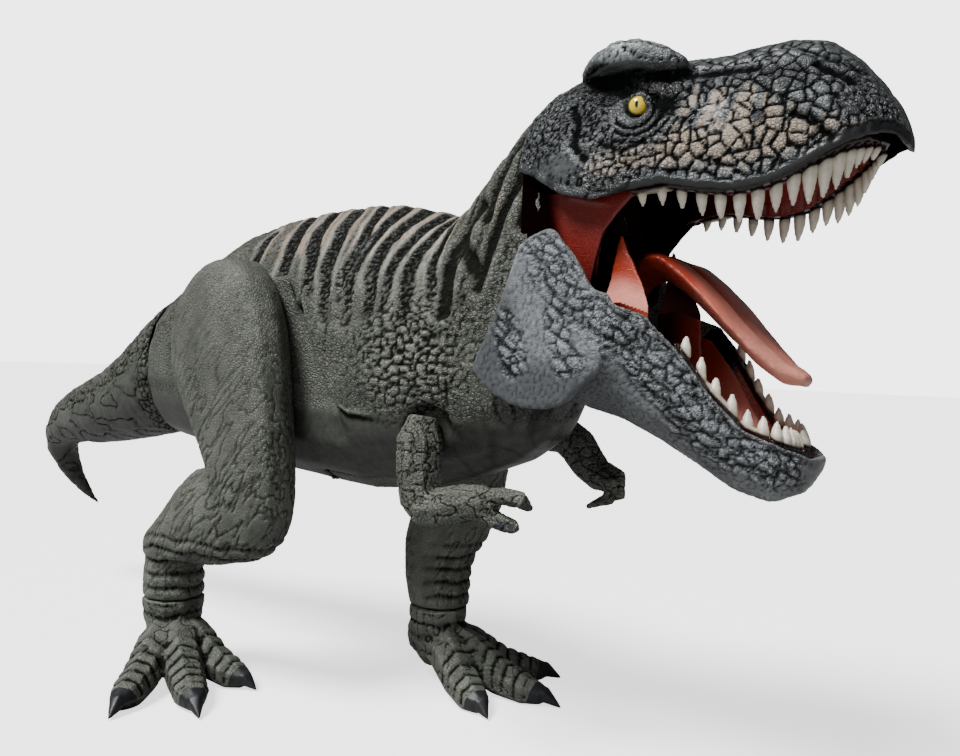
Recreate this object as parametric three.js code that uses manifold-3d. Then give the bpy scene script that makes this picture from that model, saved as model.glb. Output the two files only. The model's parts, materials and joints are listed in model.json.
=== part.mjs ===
// Toy dinosaur figure: a striding tyrannosaur with a hinged swallowing jaw, swinging legs and
// arms, turning feet and a hatch under the belly. Millimetres, +X to the snout, +Y to the
// animal's left, +Z up, origin on the floor under the middle of the figure.
import * as THREE from 'three';
import { mergeVertices } from 'three/addons/utils/BufferGeometryUtils.js';
import Module from 'manifold-3d';

const wasm = await Module();
wasm.setup();

const Y_AXIS = new THREE.Vector3(0, 1, 0);

// Fits and walls that every piece shares
const wall = 3;              // moulded shell
const seamGap = 0.3;         // between fixed pieces that face each other
const runGap = 0.5;          // between pieces that turn on each other
const overrun = 6;           // how far a cutter passes the face that it cuts

// Trunk, from the tail's seat to the neck's open end; other places follow it by these shares
// of its length and height
const trunk = { rear: -185, length: 450, floor: 0, height: 400, halfWidth: 66 };
const placeShares = {
  hip: [0.33778, 0.715], shoulder: [0.76, 0.5525], hatch: [0.4867, 0], hatchFront: [0.6689, 0],
  throat: [0.9356, 0.9075], head: [0.91333, 0.915], jaw: [0.96444, 0.755],
};
const trunkX = (share) => trunk.rear + share * trunk.length;
const trunkZ = (share) => trunk.floor + share * trunk.height;
const trunkPlace = ([x, z]) => ({ x: trunkX(x), z: trunkZ(z) });

const legReachShare = 0.2222;    // of the trunk's length
const legHeightShare = 1.2238;   // of the hip's height
const hipPocketShare = 0.64;     // of the leg's reach
const legReach = legReachShare * trunk.length;
const hip = {
  ...trunkPlace(placeShares.hip), face: 52, pocketRadius: hipPocketShare * legReach, boreRadius: 11,
};
const hipPeg = { flangeRadius: 17, flange: 5, reach: 13 };
const shoulder = {
  ...trunkPlace(placeShares.shoulder), face: 45, pocketRadius: 21, boreRadius: 5,
};
const shoulderPeg = { flangeRadius: 7, flange: 3, reach: 9 };
const throat = trunkPlace(placeShares.throat);
const hatch = {
  rear: trunkX(placeShares.hatch[0]), front: trunkX(placeShares.hatchFront[0]), halfWidth: 28,
  cornerRadius: 9,
};
const hinge = { radius: 3.2, pinRadius: 1.4, knuckle: 13, halfLength: 19 };
const tailPlug = { halfWidth: 26, halfHeight: 38, depth: 16, wall: 4 };
const tail = { reach: 282, side: 62, halfWidth: 48, halfHeight: 72 };

// Head and upper mouth
const headPlace = trunkPlace(placeShares.head);
const head = {
  rear: headPlace.x, length: 218, floor: headPlace.z, height: 98, halfWidth: 66, wall: 3.5,
};
const collar = { length: 9 };
const eyeShares = { x: 0.3624, z: 0.592 };   // of the head's length and height
const eye = {
  x: head.rear + eyeShares.x * head.length, y: 50, z: head.floor + eyeShares.z * head.height,
  radius: 7.5, socketRadius: 12,
};
const brow = { length: 62, width: 22, height: 22 };
const palate = { wall: 2.4, drop: 7, fit: 0.8 };
const curtainRearShare = 0.165;              // of the head's length
const curtain = {
  rear: head.rear + curtainRearShare * head.length, length: 52, drop: 50, thickness: 2.2,
};
const upperGum = { width: 7.4, height: 8, fit: 1.5 };
const upperTooth = { length: 16, radius: 3.1, curl: 2.5 };
const upperToothCount = 16;  // on each side

// Lower jaw, open as it stands, about its two pins
const jaw = {
  ...trunkPlace(placeShares.jaw), length: 160, depth: 110, halfWidth: 69, wall: 4.5, rearClear: 38,
};
const flap = { inner: 61, thickness: 7.5, radius: 58, ear: 53 };
const jawPin = { radius: 3, inner: 36, outer: 66 };
const jawBoss = { radius: 9, inner: 38 };
const jawLiner = { wall: 2.2, lift: 11 };
const webPlaceShares = { x: 0.2875, z: -0.4727 };   // of the jaw's length and depth
const web = {
  x: jaw.x + webPlaceShares.x * jaw.length, floor: jaw.z + webPlaceShares.z * jaw.depth, y: 42.5,
  height: 102, halfLength: 20, lean: 3, thickness: 2.4,
};
const lowerGum = { width: 6.4, height: 6, fit: 1.8 };
const lowerTooth = { length: 11, radius: 3, curl: 1.5 };
const lowerToothCount = 11;  // on each side
const tongue = { length: 164, halfWidth: 20, halfHeight: 9 };

// Legs, feet and arms
const leg = {
  face: 52.5, split: 66, outer: 100, height: legHeightShare * hip.z, reach: legReach, halfAcross: 26,
};
const ankle = { z: 64, y: 66, radius: 26, pegRadius: 8, pegLength: 40 };
const foot = { toeRadius: 15, clawRadius: 8, spurReach: 34, spurRadius: 8 };
const toeReach = { inner: 96, middle: 118, outer: 109 };
const rightFootAngle = -25;  // degrees that the middle toe points from straight ahead
const leftFootAngle = 6;
const toeAngle = 33;         // degrees between neighbouring toes
const spurAngle = 150;       // degrees from the middle toe to the small back toe
const arm = { reach: 92, height: 60, thickness: 28, radius: 17, fingerRadius: 6.5 };

// How many flat sides the round forms get
const trunkSideCount = 16;
const boreSideCount = 16;
const pocketSideCount = 14;
const pinSideCount = 10;

// Number helpers
const raise = (value, exponent) => Math.sign(value) * Math.abs(value) ** exponent;
const vector = (x, y, z) => new THREE.Vector3(x, y, z);

// A closed solid from points and triangles, its faces turned outwards
function solidFrom(points, faces) {
  let volume = 0;
  for (const [a, b, c] of faces) {
    volume += points[a].dot(vector().crossVectors(points[b], points[c]));
  }
  const outward = volume > 0 ? faces : faces.map(([a, b, c]) => [a, c, b]);
  const vertProperties = new Float32Array(points.flatMap((point) => point.toArray()));
  const triVerts = new Uint32Array(outward.flat());
  return new wasm.Manifold(new wasm.Mesh({ numProp: 3, vertProperties, triVerts }));
}

// A closed solid from one of three.js's own closed geometries
function solidOf(geometry) {
  geometry.deleteAttribute('normal');
  geometry.deleteAttribute('uv');
  const merged = mergeVertices(geometry);
  const vertProperties = new Float32Array(merged.attributes.position.array);
  const triVerts = new Uint32Array(merged.index.array);
  return new wasm.Manifold(new wasm.Mesh({ numProp: 3, vertProperties, triVerts }));
}

// A loft through rings of as many points each, its ends closed round their middles
function loft(rings) {
  const count = rings[0].length;
  const points = rings.flat();
  const faces = [];
  for (let r = 0; r < rings.length - 1; r += 1) {
    for (let i = 0; i < count; i += 1) {
      const a = r * count + i;
      const b = r * count + ((i + 1) % count);
      faces.push([a, b, b + count], [a, b + count, a + count]);
    }
  }
  for (const [ring, first, turn] of [[rings[0], 0, 1], [rings.at(-1), points.length - count, 0]]) {
    const middle = ring.reduce((sum, point) => sum.add(point), vector()).divideScalar(count);
    points.push(middle);
    const hub = points.length - 1;
    for (let i = 0; i < count; i += 1) {
      const a = first + i;
      const b = first + ((i + 1) % count);
      faces.push(turn ? [hub, b, a] : [hub, a, b]);
    }
  }
  return solidFrom(points, faces);
}

// A rounded section from bottom to top: level is how far up it is widest
function section(bottom, top, halfWidth, count, level, topPower, bottomPower) {
  const rise = top.clone().sub(bottom);
  const height = rise.length();
  rise.normalize();
  const ring = [];
  for (let i = 0; i < count; i += 1) {
    const angle = (2 * Math.PI * (i + 0.5)) / count;
    const upward = Math.sin(angle) > 0;
    const power = 2 / (upward ? topPower : bottomPower);
    const reach = (upward ? 1 - level : level) * height;
    const along = level * height + reach * raise(Math.sin(angle), power);
    const point = bottom.clone().addScaledVector(rise, along);
    point.y += halfWidth * raise(Math.cos(angle), power);
    ring.push(point);
  }
  return ring;
}

// A round limb along control points [x, y, z, half across, half lift]
function limb(controls, count, steps, across = Y_AXIS, power = 2) {
  const path = new THREE.CatmullRomCurve3(controls.map(([x, y, z]) => vector(x, y, z)));
  const sizes = new THREE.CatmullRomCurve3(controls.map(([, , , a, b]) => vector(a, b, 0)));
  const rings = [];
  for (let s = 0; s <= steps; s += 1) {
    const centre = path.getPoint(s / steps);
    const size = sizes.getPoint(s / steps);
    const along = path.getTangent(s / steps);
    const side = across.clone().addScaledVector(along, -across.dot(along)).normalize();
    const lift = vector().crossVectors(side, along);
    const ring = [];
    for (let i = 0; i < count; i += 1) {
      const angle = (2 * Math.PI * i) / count;
      const point = centre.clone();
      point.addScaledVector(side, size.x * raise(Math.cos(angle), 2 / power));
      point.addScaledVector(lift, size.y * raise(Math.sin(angle), 2 / power));
      ring.push(point);
    }
    rings.push(ring);
  }
  return loft(rings);
}

// A box between two corners
function box(from, to) {
  const size = to.clone().sub(from);
  const geometry = new THREE.BoxGeometry(size.x, size.y, size.z);
  geometry.translate(from.x + size.x / 2, from.y + size.y / 2, from.z + size.z / 2);
  return solidOf(geometry);
}

// A round bar about an axis along Y, from one y to another
function crossBar(x, z, radius, fromY, toY, sides = pinSideCount) {
  const geometry = new THREE.CylinderGeometry(radius, radius, Math.abs(toY - fromY), sides);
  geometry.translate(x, (fromY + toY) / 2, z);
  return solidOf(geometry);
}

// A flat outline in the side view, thick from one y to another
function sidePlate(shape, fromY, toY, steps = 4) {
  const depth = Math.abs(toY - fromY);
  const options = { depth, bevelEnabled: false, curveSegments: steps };
  const geometry = new THREE.ExtrudeGeometry(shape, options);
  geometry.rotateX(Math.PI / 2);
  geometry.translate(0, Math.max(fromY, toY), 0);
  return solidOf(geometry);
}

// The same solid on the other side of the middle plane
function mirrored(solid) {
  const mesh = solid.getMesh();
  const points = [];
  for (let i = 0; i < mesh.numVert; i += 1) {
    const at = i * mesh.numProp;
    const [x, y, z] = mesh.vertProperties.slice(at, at + 3);
    points.push(vector(x, -y, z));
  }
  const faces = [];
  for (let i = 0; i < mesh.numTri; i += 1) {
    faces.push([...mesh.triVerts.slice(3 * i, 3 * i + 3)]);
  }
  return solidFrom(points, faces);
}

const bothSides = (solid) => solid.add(mirrored(solid));
const vast = 4 * trunk.length;
const sideSpace = (side, fromY) => (side > 0
  ? box(vector(-vast, fromY, -vast), vector(vast, vast, vast))
  : box(vector(-vast, -vast, -vast), vector(vast, -fromY, vast)));

// Trunk sections: top x and z, bottom x and z, half width, all as shares; then the level and
// the fullness above and below it
const trunkShares = [
  [0.000, 0.815, 0.000, 0.483, 0.73, 0.50, 2.0, 2.0],
  [0.067, 0.862, 0.078, 0.472, 0.82, 0.48, 1.9, 2.0],
  [0.127, 0.904, 0.167, 0.460, 0.88, 0.46, 1.9, 2.1],
  [0.218, 0.948, 0.260, 0.450, 0.91, 0.45, 1.85, 2.2],
  [0.327, 0.975, 0.373, 0.438, 0.94, 0.45, 1.8, 2.2],
  [0.433, 0.988, 0.482, 0.430, 0.98, 0.45, 1.8, 2.2],
  [0.540, 0.992, 0.584, 0.425, 1.00, 0.45, 1.8, 2.2],
  [0.630, 0.986, 0.689, 0.438, 0.98, 0.46, 1.8, 2.2],
  [0.690, 0.968, 0.787, 0.470, 0.94, 0.47, 1.85, 2.3],
  [0.735, 0.955, 0.867, 0.505, 0.89, 0.47, 1.9, 2.4],
  [0.768, 0.979, 0.922, 0.550, 0.85, 0.46, 1.9, 2.6],
  [0.802, 1.020, 0.947, 0.625, 0.82, 0.46, 2.0, 3.0],
  [0.840, 1.062, 0.964, 0.710, 0.80, 0.46, 2.0, 3.4],
  [0.876, 1.100, 0.984, 0.795, 0.79, 0.46, 2.1, 3.4],
  [0.912, 1.120, 1.002, 0.855, 0.78, 0.46, 2.2, 3.2],
];

function trunkLoft(inset, count, rows = trunkShares) {
  const rings = [];
  for (const [topX, topZ, bottomX, bottomZ, width, level, above, below] of rows) {
    const top = vector(trunk.rear + topX * trunk.length, 0, trunk.floor + topZ * trunk.height);
    const bottom = vector(
      trunk.rear + bottomX * trunk.length, 0, trunk.floor + bottomZ * trunk.height);
    const rise = top.clone().sub(bottom).normalize();
    top.addScaledVector(rise, -inset);
    bottom.addScaledVector(rise, inset);
    const halfWidth = width * trunk.halfWidth - inset;
    rings.push(section(bottom, top, halfWidth, count, level, above, below));
  }
  if (inset !== 0) {
    const last = rings.at(-1);
    const before = rings.at(-2);
    rings.push(last.map((point, i) => point.clone().multiplyScalar(2).sub(before[i])));
  }
  return loft(rings);
}

// What the swinging thigh sweeps, as an outline round the hip axis in hip radii
const rightSweepShares = [
  [1.00, 0.42], [1.10, 0.23], [1.30, -0.13], [1.62, -0.68], [1.90, -1.25], [1.90, -2.4],
  [-1.4, -2.4], [-1.1, -0.9], [-1.04, -0.25],
];
const leftSweepShares = [
  [0.45, 0.95], [0.70, 0.86], [0.93, 0.73], [1.60, 0.36], [2.18, -0.07], [2.62, -0.56], [2.62, -1.2],
  [2.4, -2.4], [-1.4, -2.4], [-1.1, -0.9], [-1.04, -0.25],
];

function hipSweep(shares, grow) {
  const radius = hip.pocketRadius + grow;
  const shape = new THREE.Shape();
  const [firstX, firstZ] = shares[0];
  const start = Math.atan2(firstZ, firstX);
  const [lastX, lastZ] = shares.at(-1);
  const end = Math.atan2(lastZ, lastX) + 2 * Math.PI;
  shape.absarc(hip.x, hip.z, radius, start, end, false);
  for (const [x, z] of [...shares].reverse()) {
    shape.lineTo(hip.x + x * radius, hip.z + z * radius);
  }
  return shape;
}

function hipPocket(side, grow) {
  const shape = hipSweep(side > 0 ? leftSweepShares : rightSweepShares, grow);
  const from = hip.face - grow;
  const to = trunk.halfWidth * 2;
  return sidePlate(shape, side * from, side * to, 7);
}

function shoulderPocket(side, grow) {
  const from = side * (shoulder.face - grow);
  const to = side * trunk.halfWidth * 2;
  return crossBar(shoulder.x, shoulder.z, shoulder.pocketRadius + grow, from, to, pocketSideCount);
}

// The hatch opening, as a rounded block from the floor through the belly wall
const hatchReachShare = 0.55;

function hatchBlock(grow) {
  const shape = new THREE.Shape();
  const front = hatch.front + grow;
  const rear = hatch.rear - grow;
  const half = hatch.halfWidth + grow;
  const round = hatch.cornerRadius;
  shape.moveTo(rear, -half);
  shape.lineTo(front - round, -half);
  shape.absarc(front - round, -half + round, round, -Math.PI / 2, 0, false);
  shape.absarc(front - round, half - round, round, 0, Math.PI / 2, false);
  shape.lineTo(rear, half);
  const depth = trunk.height * hatchReachShare;
  return solidOf(new THREE.ExtrudeGeometry(shape, { depth, bevelEnabled: false, curveSegments: 2 }));
}

// The hollow follows every other section, and the one where the neck rises
const neckRowCount = 9;
const hollowRows = trunkShares.filter((_, index) => index % 2 === 0 || index === neckRowCount);
const trunkOuter = trunkLoft(0, trunkSideCount);
let trunkHollow = trunkLoft(wall, trunkSideCount, hollowRows);
for (const side of [1, -1]) {
  trunkHollow = trunkHollow.subtract(hipPocket(side, wall)).subtract(shoulderPocket(side, wall));
}
const rearWallEnd = trunk.rear + wall;
trunkHollow = trunkHollow.subtract(box(vector(-vast, -vast, -vast), vector(rearWallEnd, vast, vast)));

// The belly's outer face over the hatch hinge gives the hinge its height
const bellyLow = trunk.floor + trunkShares[5][3] * trunk.height;
const hingeLine = { x: hatch.rear, z: bellyLow + hinge.radius };

// The throat: the neck's lower front is open from above the jaw's bosses
function throatCut() {
  const floor = jaw.z + jawBoss.radius;
  return box(vector(throat.x, -flap.inner, floor), vector(vast, flap.inner, throat.z));
}

function trunkShell(side) {
  let shell = trunkOuter.subtract(trunkHollow);
  shell = shell.intersect(sideSpace(side, seamGap / 2));
  shell = shell.subtract(hipPocket(side, 0)).subtract(shoulderPocket(side, 0));
  const boreEnd = side * trunk.halfWidth;
  shell = shell.subtract(crossBar(hip.x, hip.z, hip.boreRadius, 0, boreEnd, boreSideCount));
  shell = shell.subtract(crossBar(shoulder.x, shoulder.z, shoulder.boreRadius, 0, boreEnd));
  const bossEnd = side * (flap.inner - runGap);
  const boss = crossBar(jaw.x, jaw.z, jawBoss.radius, side * jawBoss.inner, bossEnd);
  shell = shell.add(boss.intersect(sideSpace(side, seamGap / 2)));
  shell = shell.subtract(crossBar(jaw.x, jaw.z, jawPin.radius + seamGap, 0, boreEnd));
  shell = shell.subtract(throatCut());
  shell = shell.subtract(hatchBlock(runGap));
  const knuckleSide = hinge.knuckle / 2 + runGap;
  shell = shell.subtract(crossBar(
    hingeLine.x, hingeLine.z, hinge.radius + runGap, -knuckleSide, knuckleSide));
  const knuckle = crossBar(hingeLine.x, hingeLine.z, hinge.radius, side * knuckleSide,
    side * hinge.halfLength);
  shell = shell.add(knuckle.intersect(sideSpace(side, seamGap / 2)));
  const tailHole = tailCore(seamGap, trunk.rear - overrun, trunk.rear + tailPlug.depth);
  shell = shell.subtract(tailHole);
  const pinBore = crossBar(hingeLine.x, hingeLine.z, hinge.pinRadius + seamGap / 2, -vast, vast);
  return shell.subtract(pinBore);
}

// The tail's plug, an oval block through the trunk's rear wall
function tailCore(grow, fromX, toX) {
  const middle = trunk.floor + trunk.height * (trunkShares[0][1] + trunkShares[0][3]) / 2;
  const rings = [fromX, toX].map((x) => section(
    vector(x, 0, middle - tailPlug.halfHeight - grow),
    vector(x, 0, middle + tailPlug.halfHeight + grow),
    tailPlug.halfWidth + grow, 12, 0.5, 2, 2));
  return loft(rings);
}

function hatchDoor() {
  let door = trunkOuter.subtract(trunkHollow).intersect(hatchBlock(0));
  const slotEnd = hingeLine.x + hinge.radius + runGap;
  const hingeSlot = box(vector(-vast, -vast, -vast), vector(slotEnd, vast, vast));
  door = door.subtract(hingeSlot);
  const half = hinge.knuckle / 2;
  const knuckle = crossBar(hingeLine.x, hingeLine.z, hinge.radius, -half, half);
  const leafTo = vector(hingeLine.x + 2 * hinge.radius + overrun, half, hingeLine.z + wall);
  const leaf = box(vector(hingeLine.x, -half, hingeLine.z), leafTo);
  door = door.add(knuckle).add(leaf);
  return door.subtract(crossBar(
    hingeLine.x, hingeLine.z, hinge.pinRadius + seamGap / 2, -vast, vast));
}

// Tail centre line and half sizes as shares: back, sideways, height, half width, half height
const tailShares = [
  [0.00, 0.00, 0.650, 1.00, 0.89],
  [0.16, 0.01, 0.600, 0.90, 0.755],
  [0.37, 0.03, 0.549, 0.74, 0.60],
  [0.57, 0.08, 0.515, 0.62, 0.52],
  [0.77, 0.16, 0.487, 0.50, 0.42],
  [0.91, 0.26, 0.445, 0.43, 0.34],
  [0.98, 0.40, 0.385, 0.36, 0.26],
  [0.97, 0.60, 0.312, 0.24, 0.16],
  [0.94, 0.82, 0.250, 0.13, 0.09],
  [0.91, 1.00, 0.212, 0.05, 0.03],
];

function tailControls(inset, rows) {
  return rows.map(([back, side, height, width, lift]) => [
    trunk.rear - back * tail.reach, side * tail.side, trunkZ(height),
    width * tail.halfWidth - inset, lift * tail.halfHeight - inset]);
}

function tailPiece() {
  const base = trunk.rear - seamGap;
  const skin = limb(tailControls(0, tailShares), 14, 12);
  const hollow = limb(tailControls(wall, tailShares.slice(0, 6)), 10, 5);
  const ahead = box(vector(base, -vast, -vast), vector(vast, vast, vast));
  const piece = skin.subtract(hollow).subtract(ahead);
  const slab = skin.intersect(
    box(vector(base - tailPlug.wall, -vast, -vast), vector(base, vast, vast)));
  const plug = tailCore(0, base - tailPlug.wall, base + tailPlug.depth);
  const bore = tailCore(-wall, base - tailPlug.depth, base + tailPlug.depth + overrun);
  return piece.add(slab).add(plug).subtract(bore);
}

// Head sections: x, lip z, crown z and half width as shares, and the fullness of the arch
const headShares = [
  [0.000, 0.28, 0.80, 0.86, 2.2],
  [0.065, 0.21, 0.905, 0.94, 2.3],
  [0.165, 0.08, 0.98, 1.00, 2.4],
  [0.265, 0.03, 0.98, 1.00, 2.4],
  [0.355, 0.07, 0.97, 0.95, 2.4],
  [0.450, 0.10, 0.97, 0.89, 2.4],
  [0.540, 0.06, 0.97, 0.83, 2.3],
  [0.625, 0.04, 0.99, 0.80, 2.3],
  [0.710, 0.07, 1.00, 0.76, 2.3],
  [0.800, 0.17, 0.96, 0.69, 2.2],
  [0.873, 0.27, 0.83, 0.59, 2.1],
  [0.927, 0.32, 0.68, 0.47, 2.0],
  [0.968, 0.33, 0.54, 0.32, 2.0],
  [0.995, 0.28, 0.40, 0.15, 2.0],
];

// A dome over a flat underside, at one place along X
function dome(x, low, high, halfWidth, power, count) {
  const ring = [];
  for (let i = 0; i <= count; i += 1) {
    const angle = (Math.PI * i) / count;
    const y = halfWidth * raise(Math.cos(angle), 2 / power);
    ring.push(vector(x, y, low + (high - low) * raise(Math.sin(angle), 2 / power)));
  }
  ring.push(vector(x, 0, low));
  return ring;
}

function headAt(share, column) {
  const last = headShares.length - 1;
  const next = Math.min(last, Math.max(1, headShares.findIndex((row) => row[0] >= share)));
  const [before, after] = [headShares[next - 1], headShares[next]];
  const blend = (share - before[0]) / (after[0] - before[0]);
  return before[column] + (after[column] - before[column]) * blend;
}

const headX = (share) => head.rear + share * head.length;
const headZ = (share) => head.floor + share * head.height;
const headHalf = (share) => headAt(share, 3) * head.halfWidth;
const lipZ = (share) => headZ(headAt(share, 1));

function skullSkin() {
  return loft(headShares.map(([x, lip, crown, width, power]) => (
    dome(headX(x), headZ(lip), headZ(crown), width * head.halfWidth, power, 13))));
}

function skullHollow() {
  const rings = headShares.slice(1, -1).map(([x, lip, crown, width, power]) => dome(
    headX(x), headZ(lip) - overrun, headZ(crown) - head.wall,
    width * head.halfWidth - head.wall, power, 9));
  const first = rings[0].map((point) => point.clone().setX(head.rear + collar.length));
  return loft([first, ...rings.slice(1)]);
}

// The brow ridge over each eye: forward, outward, up, half across and half lift as shares
const browDropShare = 0.3;
const browShares = [
  [-0.55, 0.05, -0.30, 0.35, 0.40], [-0.33, 0.02, 0.06, 0.85, 0.95], [-0.08, 0.00, 0.16, 1.0, 1.0],
  [0.22, -0.04, -0.02, 0.85, 0.80], [0.50, -0.20, -0.30, 0.40, 0.40],
];

function browRidge(side) {
  const crown = headZ(headShares[3][2]);
  const middle = vector(eye.x - eye.radius, eye.y - eye.radius, crown - brow.height * browDropShare);
  return limb(browShares.map(([x, y, z, across, lift]) => [
    middle.x + x * brow.length, side * (middle.y + y * brow.width), middle.z + z * brow.height,
    across * brow.width / 2, lift * brow.height / 2]), 7, 5);
}

function ball(x, y, z, radius, detail) {
  const geometry = new THREE.SphereGeometry(radius, detail, Math.round(detail / 2));
  geometry.translate(x, y, z);
  return solidOf(geometry);
}

const socketOutShare = 0.45;

function skull() {
  let shell = skullSkin();
  for (const side of [1, -1]) {
    shell = shell.add(browRidge(side));
    const socketY = side * (eye.y + eye.socketRadius * socketOutShare);
    shell = shell.subtract(ball(eye.x, socketY, eye.z, eye.socketRadius, 10));
  }
  let hollow = skullHollow();
  for (const side of [1, -1]) {
    hollow = hollow.subtract(ball(eye.x, side * eye.y, eye.z, eye.radius + head.wall, 6));
  }
  shell = shell.subtract(hollow).subtract(trunkLoft(-seamGap, trunkSideCount));
  for (const side of [1, -1]) {
    shell = shell.subtract(ball(eye.x, side * eye.y, eye.z, eye.radius + seamGap, 10));
  }
  return shell;
}

// The curtain's outline: its top along the lip, its edges drawn in to a low point, as shares
const curtainShares = [
  [0, 0], [0.14, -0.45], [0.34, -1], [0.39, -0.52], [0.52, -0.22], [0.72, -0.04], [1, 0.08],
];

function curtainPlate(side) {
  const shape = new THREE.Shape();
  const top = headZ(headShares[2][1]) + seamGap;
  const points = curtainShares.map(([x, z]) => new THREE.Vector2(
    curtain.rear + x * curtain.length, top + z * curtain.drop));
  shape.moveTo(curtain.rear, top + palate.drop + palate.wall);
  for (const point of points) {
    shape.lineTo(point.x, point.y);
  }
  shape.lineTo(curtain.rear + curtain.length, top + palate.drop + palate.wall);
  const outer = betweenGums(curtain.rear + curtain.length) - palate.wall / 2;
  return sidePlate(shape, side * (outer - curtain.thickness), side * outer, 1);
}

// Half the room between the gums at one place along the head
function betweenGums(x) {
  const steps = 4 * upperToothCount;
  let half = headHalf((x - head.rear) / head.length) - toothInset - upperGum.width;
  for (let s = steps; s > 0; s -= 1) {
    const { point, outward } = upperPath(0.5 + s / (2 * steps));
    point.addScaledVector(outward, -upperGum.width / 2);
    if (point.x <= x) {
      half = Math.min(half, point.y);
    }
  }
  return half - palate.fit;
}

const palateRiseShare = 0.45;
const palateFullShare = 2.4;
const palateFrontShares = [0.855, 0.885];

// The palate: a thin arch inside the gums, with its curtains hanging behind the cheeks
function palatePiece() {
  const places = [...headShares.slice(2, -5).map(([share]) => share), ...palateFrontShares];
  const arch = (inset, low) => places.map((share) => {
    const half = betweenGums(headX(share)) - inset;
    const roof = lipZ(share) + palate.drop + half * palateRiseShare - inset;
    return dome(headX(share), lipZ(share) + low, roof, half, palateFullShare, 8);
  });
  const solid = loft(arch(0, seamGap));
  const hollow = arch(palate.wall, -overrun).slice(0, -1);
  const ends = [hollow[0].map((point) => point.clone().setX(point.x - overrun)), ...hollow];
  return solid.subtract(loft(ends)).add(curtainPlate(1)).add(curtainPlate(-1));
}

// The gum strip, and the teeth that stand out of it, round the mouth from side to side
const toothRootShare = 0.5;
const toothShares = [[0, 1], [0.5, 0.82], [1, 0.12]];

function toothRow(path, gum, tooth, count, downward) {
  const rings = [];
  for (let s = 0; s <= count; s += 1) {
    const { point, outward } = path(s / count);
    const half = gum.width / 2;
    const inner = point.clone().addScaledVector(outward, -half);
    const outer = point.clone().addScaledVector(outward, half);
    const raised = vector(0, 0, -downward * gum.height);
    rings.push([inner, outer, outer.clone().add(raised), inner.clone().add(raised)]);
  }
  let row = loft(rings);
  for (let i = 0; i < 2 * count; i += 1) {
    const { point, outward, size } = path((i + 0.5) / (2 * count));
    const root = -downward * gum.height * toothRootShare;
    const reach = downward * tooth.length * size - root;
    const radius = tooth.radius * (size + 1) / 2;
    const controls = toothShares.map(([along, width]) => {
      const centre = point.clone().addScaledVector(outward, -tooth.curl * along ** 2);
      return [centre.x, centre.y, centre.z + root + reach * along, radius * width, radius * width];
    });
    row = row.add(limb(controls, 4, 2, outward));
  }
  return row;
}

const toothInset = head.wall + upperGum.fit;
const rowStartShare = 0.36;
const rowBendShare = 0.65;   // how much of the spacing follows the bend round the snout
const upperSizeShares = [0.45, 0.6, 0.75, 0.95, 1.1, 0.9, 1.25, 1.35, 1.0, 0.7, 0.55];

function upperPath(share) {
  const side = share < 0.5 ? -1 : 1;
  const along = 1 - Math.abs(2 * share - 1);
  const bend = Math.sin((along * Math.PI) / 2);
  const end = headShares.at(-2)[0] - seamGap / head.length;
  const travel = THREE.MathUtils.lerp(along, bend, rowBendShare);
  const at = rowStartShare + (end - rowStartShare) * travel;
  const closing = Math.sqrt(Math.max(0, 1 - along ** 6));
  const outward = vector(along ** 3, side * (1 - along ** 4), 0).normalize();
  const point = vector(headX(at), side * headHalf(at) * closing, lipZ(at) + seamGap);
  point.addScaledVector(outward, -toothInset - upperGum.width / 2);
  const slot = along * (upperSizeShares.length - 1);
  const low = Math.min(upperSizeShares.length - 2, Math.floor(slot));
  const size = THREE.MathUtils.lerp(upperSizeShares[low], upperSizeShares[low + 1], slot - low);
  return { point, outward, size };
}

// Jaw sections: rim x and z, bottom x and z, half width, as shares of the open jaw
const jawShares = [
  [0.144, 0.064, 0.025, -0.473, 0.94, 4.0],
  [0.281, 0.082, 0.144, -0.527, 1.00, 3.6],
  [0.437, 0.009, 0.269, -0.582, 0.94, 3.0],
  [0.562, -0.190, 0.406, -0.682, 0.83, 2.7],
  [0.650, -0.390, 0.550, -0.800, 0.71, 2.6],
  [0.756, -0.564, 0.681, -0.918, 0.586, 2.6],
  [0.869, -0.636, 0.806, -0.965, 0.457, 2.6],
  [0.946, -0.685, 0.912, -0.895, 0.29, 2.4],
  [0.975, -0.702, 0.965, -0.775, 0.10, 2.2],
];

// A bowl under a flat top, between a bottom point and a rim point
function bowl(bottom, rim, halfWidth, power, count) {
  const rise = rim.clone().sub(bottom);
  const ring = [];
  for (let i = 0; i <= count; i += 1) {
    const angle = (Math.PI * i) / count;
    const point = rim.clone().addScaledVector(rise, -raise(Math.sin(angle), 2 / power));
    point.y = halfWidth * raise(Math.cos(angle), 2 / power);
    ring.push(point);
  }
  ring.push(rim.clone());
  return ring;
}

const jawSides = 10;
const jawPoint = (x, z) => vector(jaw.x + x * jaw.length, 0, jaw.z + z * jaw.depth);

function jawBowls(inset, lift, rows = jawShares, widest = vast) {
  return rows.map(([rimX, rimZ, lowX, lowZ, width, power]) => {
    const rim = jawPoint(rimX, rimZ);
    const bottom = jawPoint(lowX, lowZ);
    const rise = rim.clone().sub(bottom).normalize();
    bottom.addScaledVector(rise, inset);
    rim.addScaledVector(rise, lift);
    const halfWidth = Math.min(width * jaw.halfWidth - inset, widest);
    return bowl(bottom, rim, halfWidth, power, jawSides);
  });
}

// The cheek plate: round under the axle, rising to an ear and running into the rim; corners
// as shares of the ear's height from the axle
const flapRearShares = [[-0.50, 0.18], [-0.33, 0.62], [-0.22, 0.86]];
const flapFrontShares = [[0.30, 0.86], [0.52, 0.62], [0.72, 0.30], [0.95, 0.16]];
const flapTopShares = [[0.24, 1.0], [0.12, 1.0]];
const flapCornerShare = 0.55;
const flapAngles = [-144, -68];   // degrees round the axle, from +X

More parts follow.
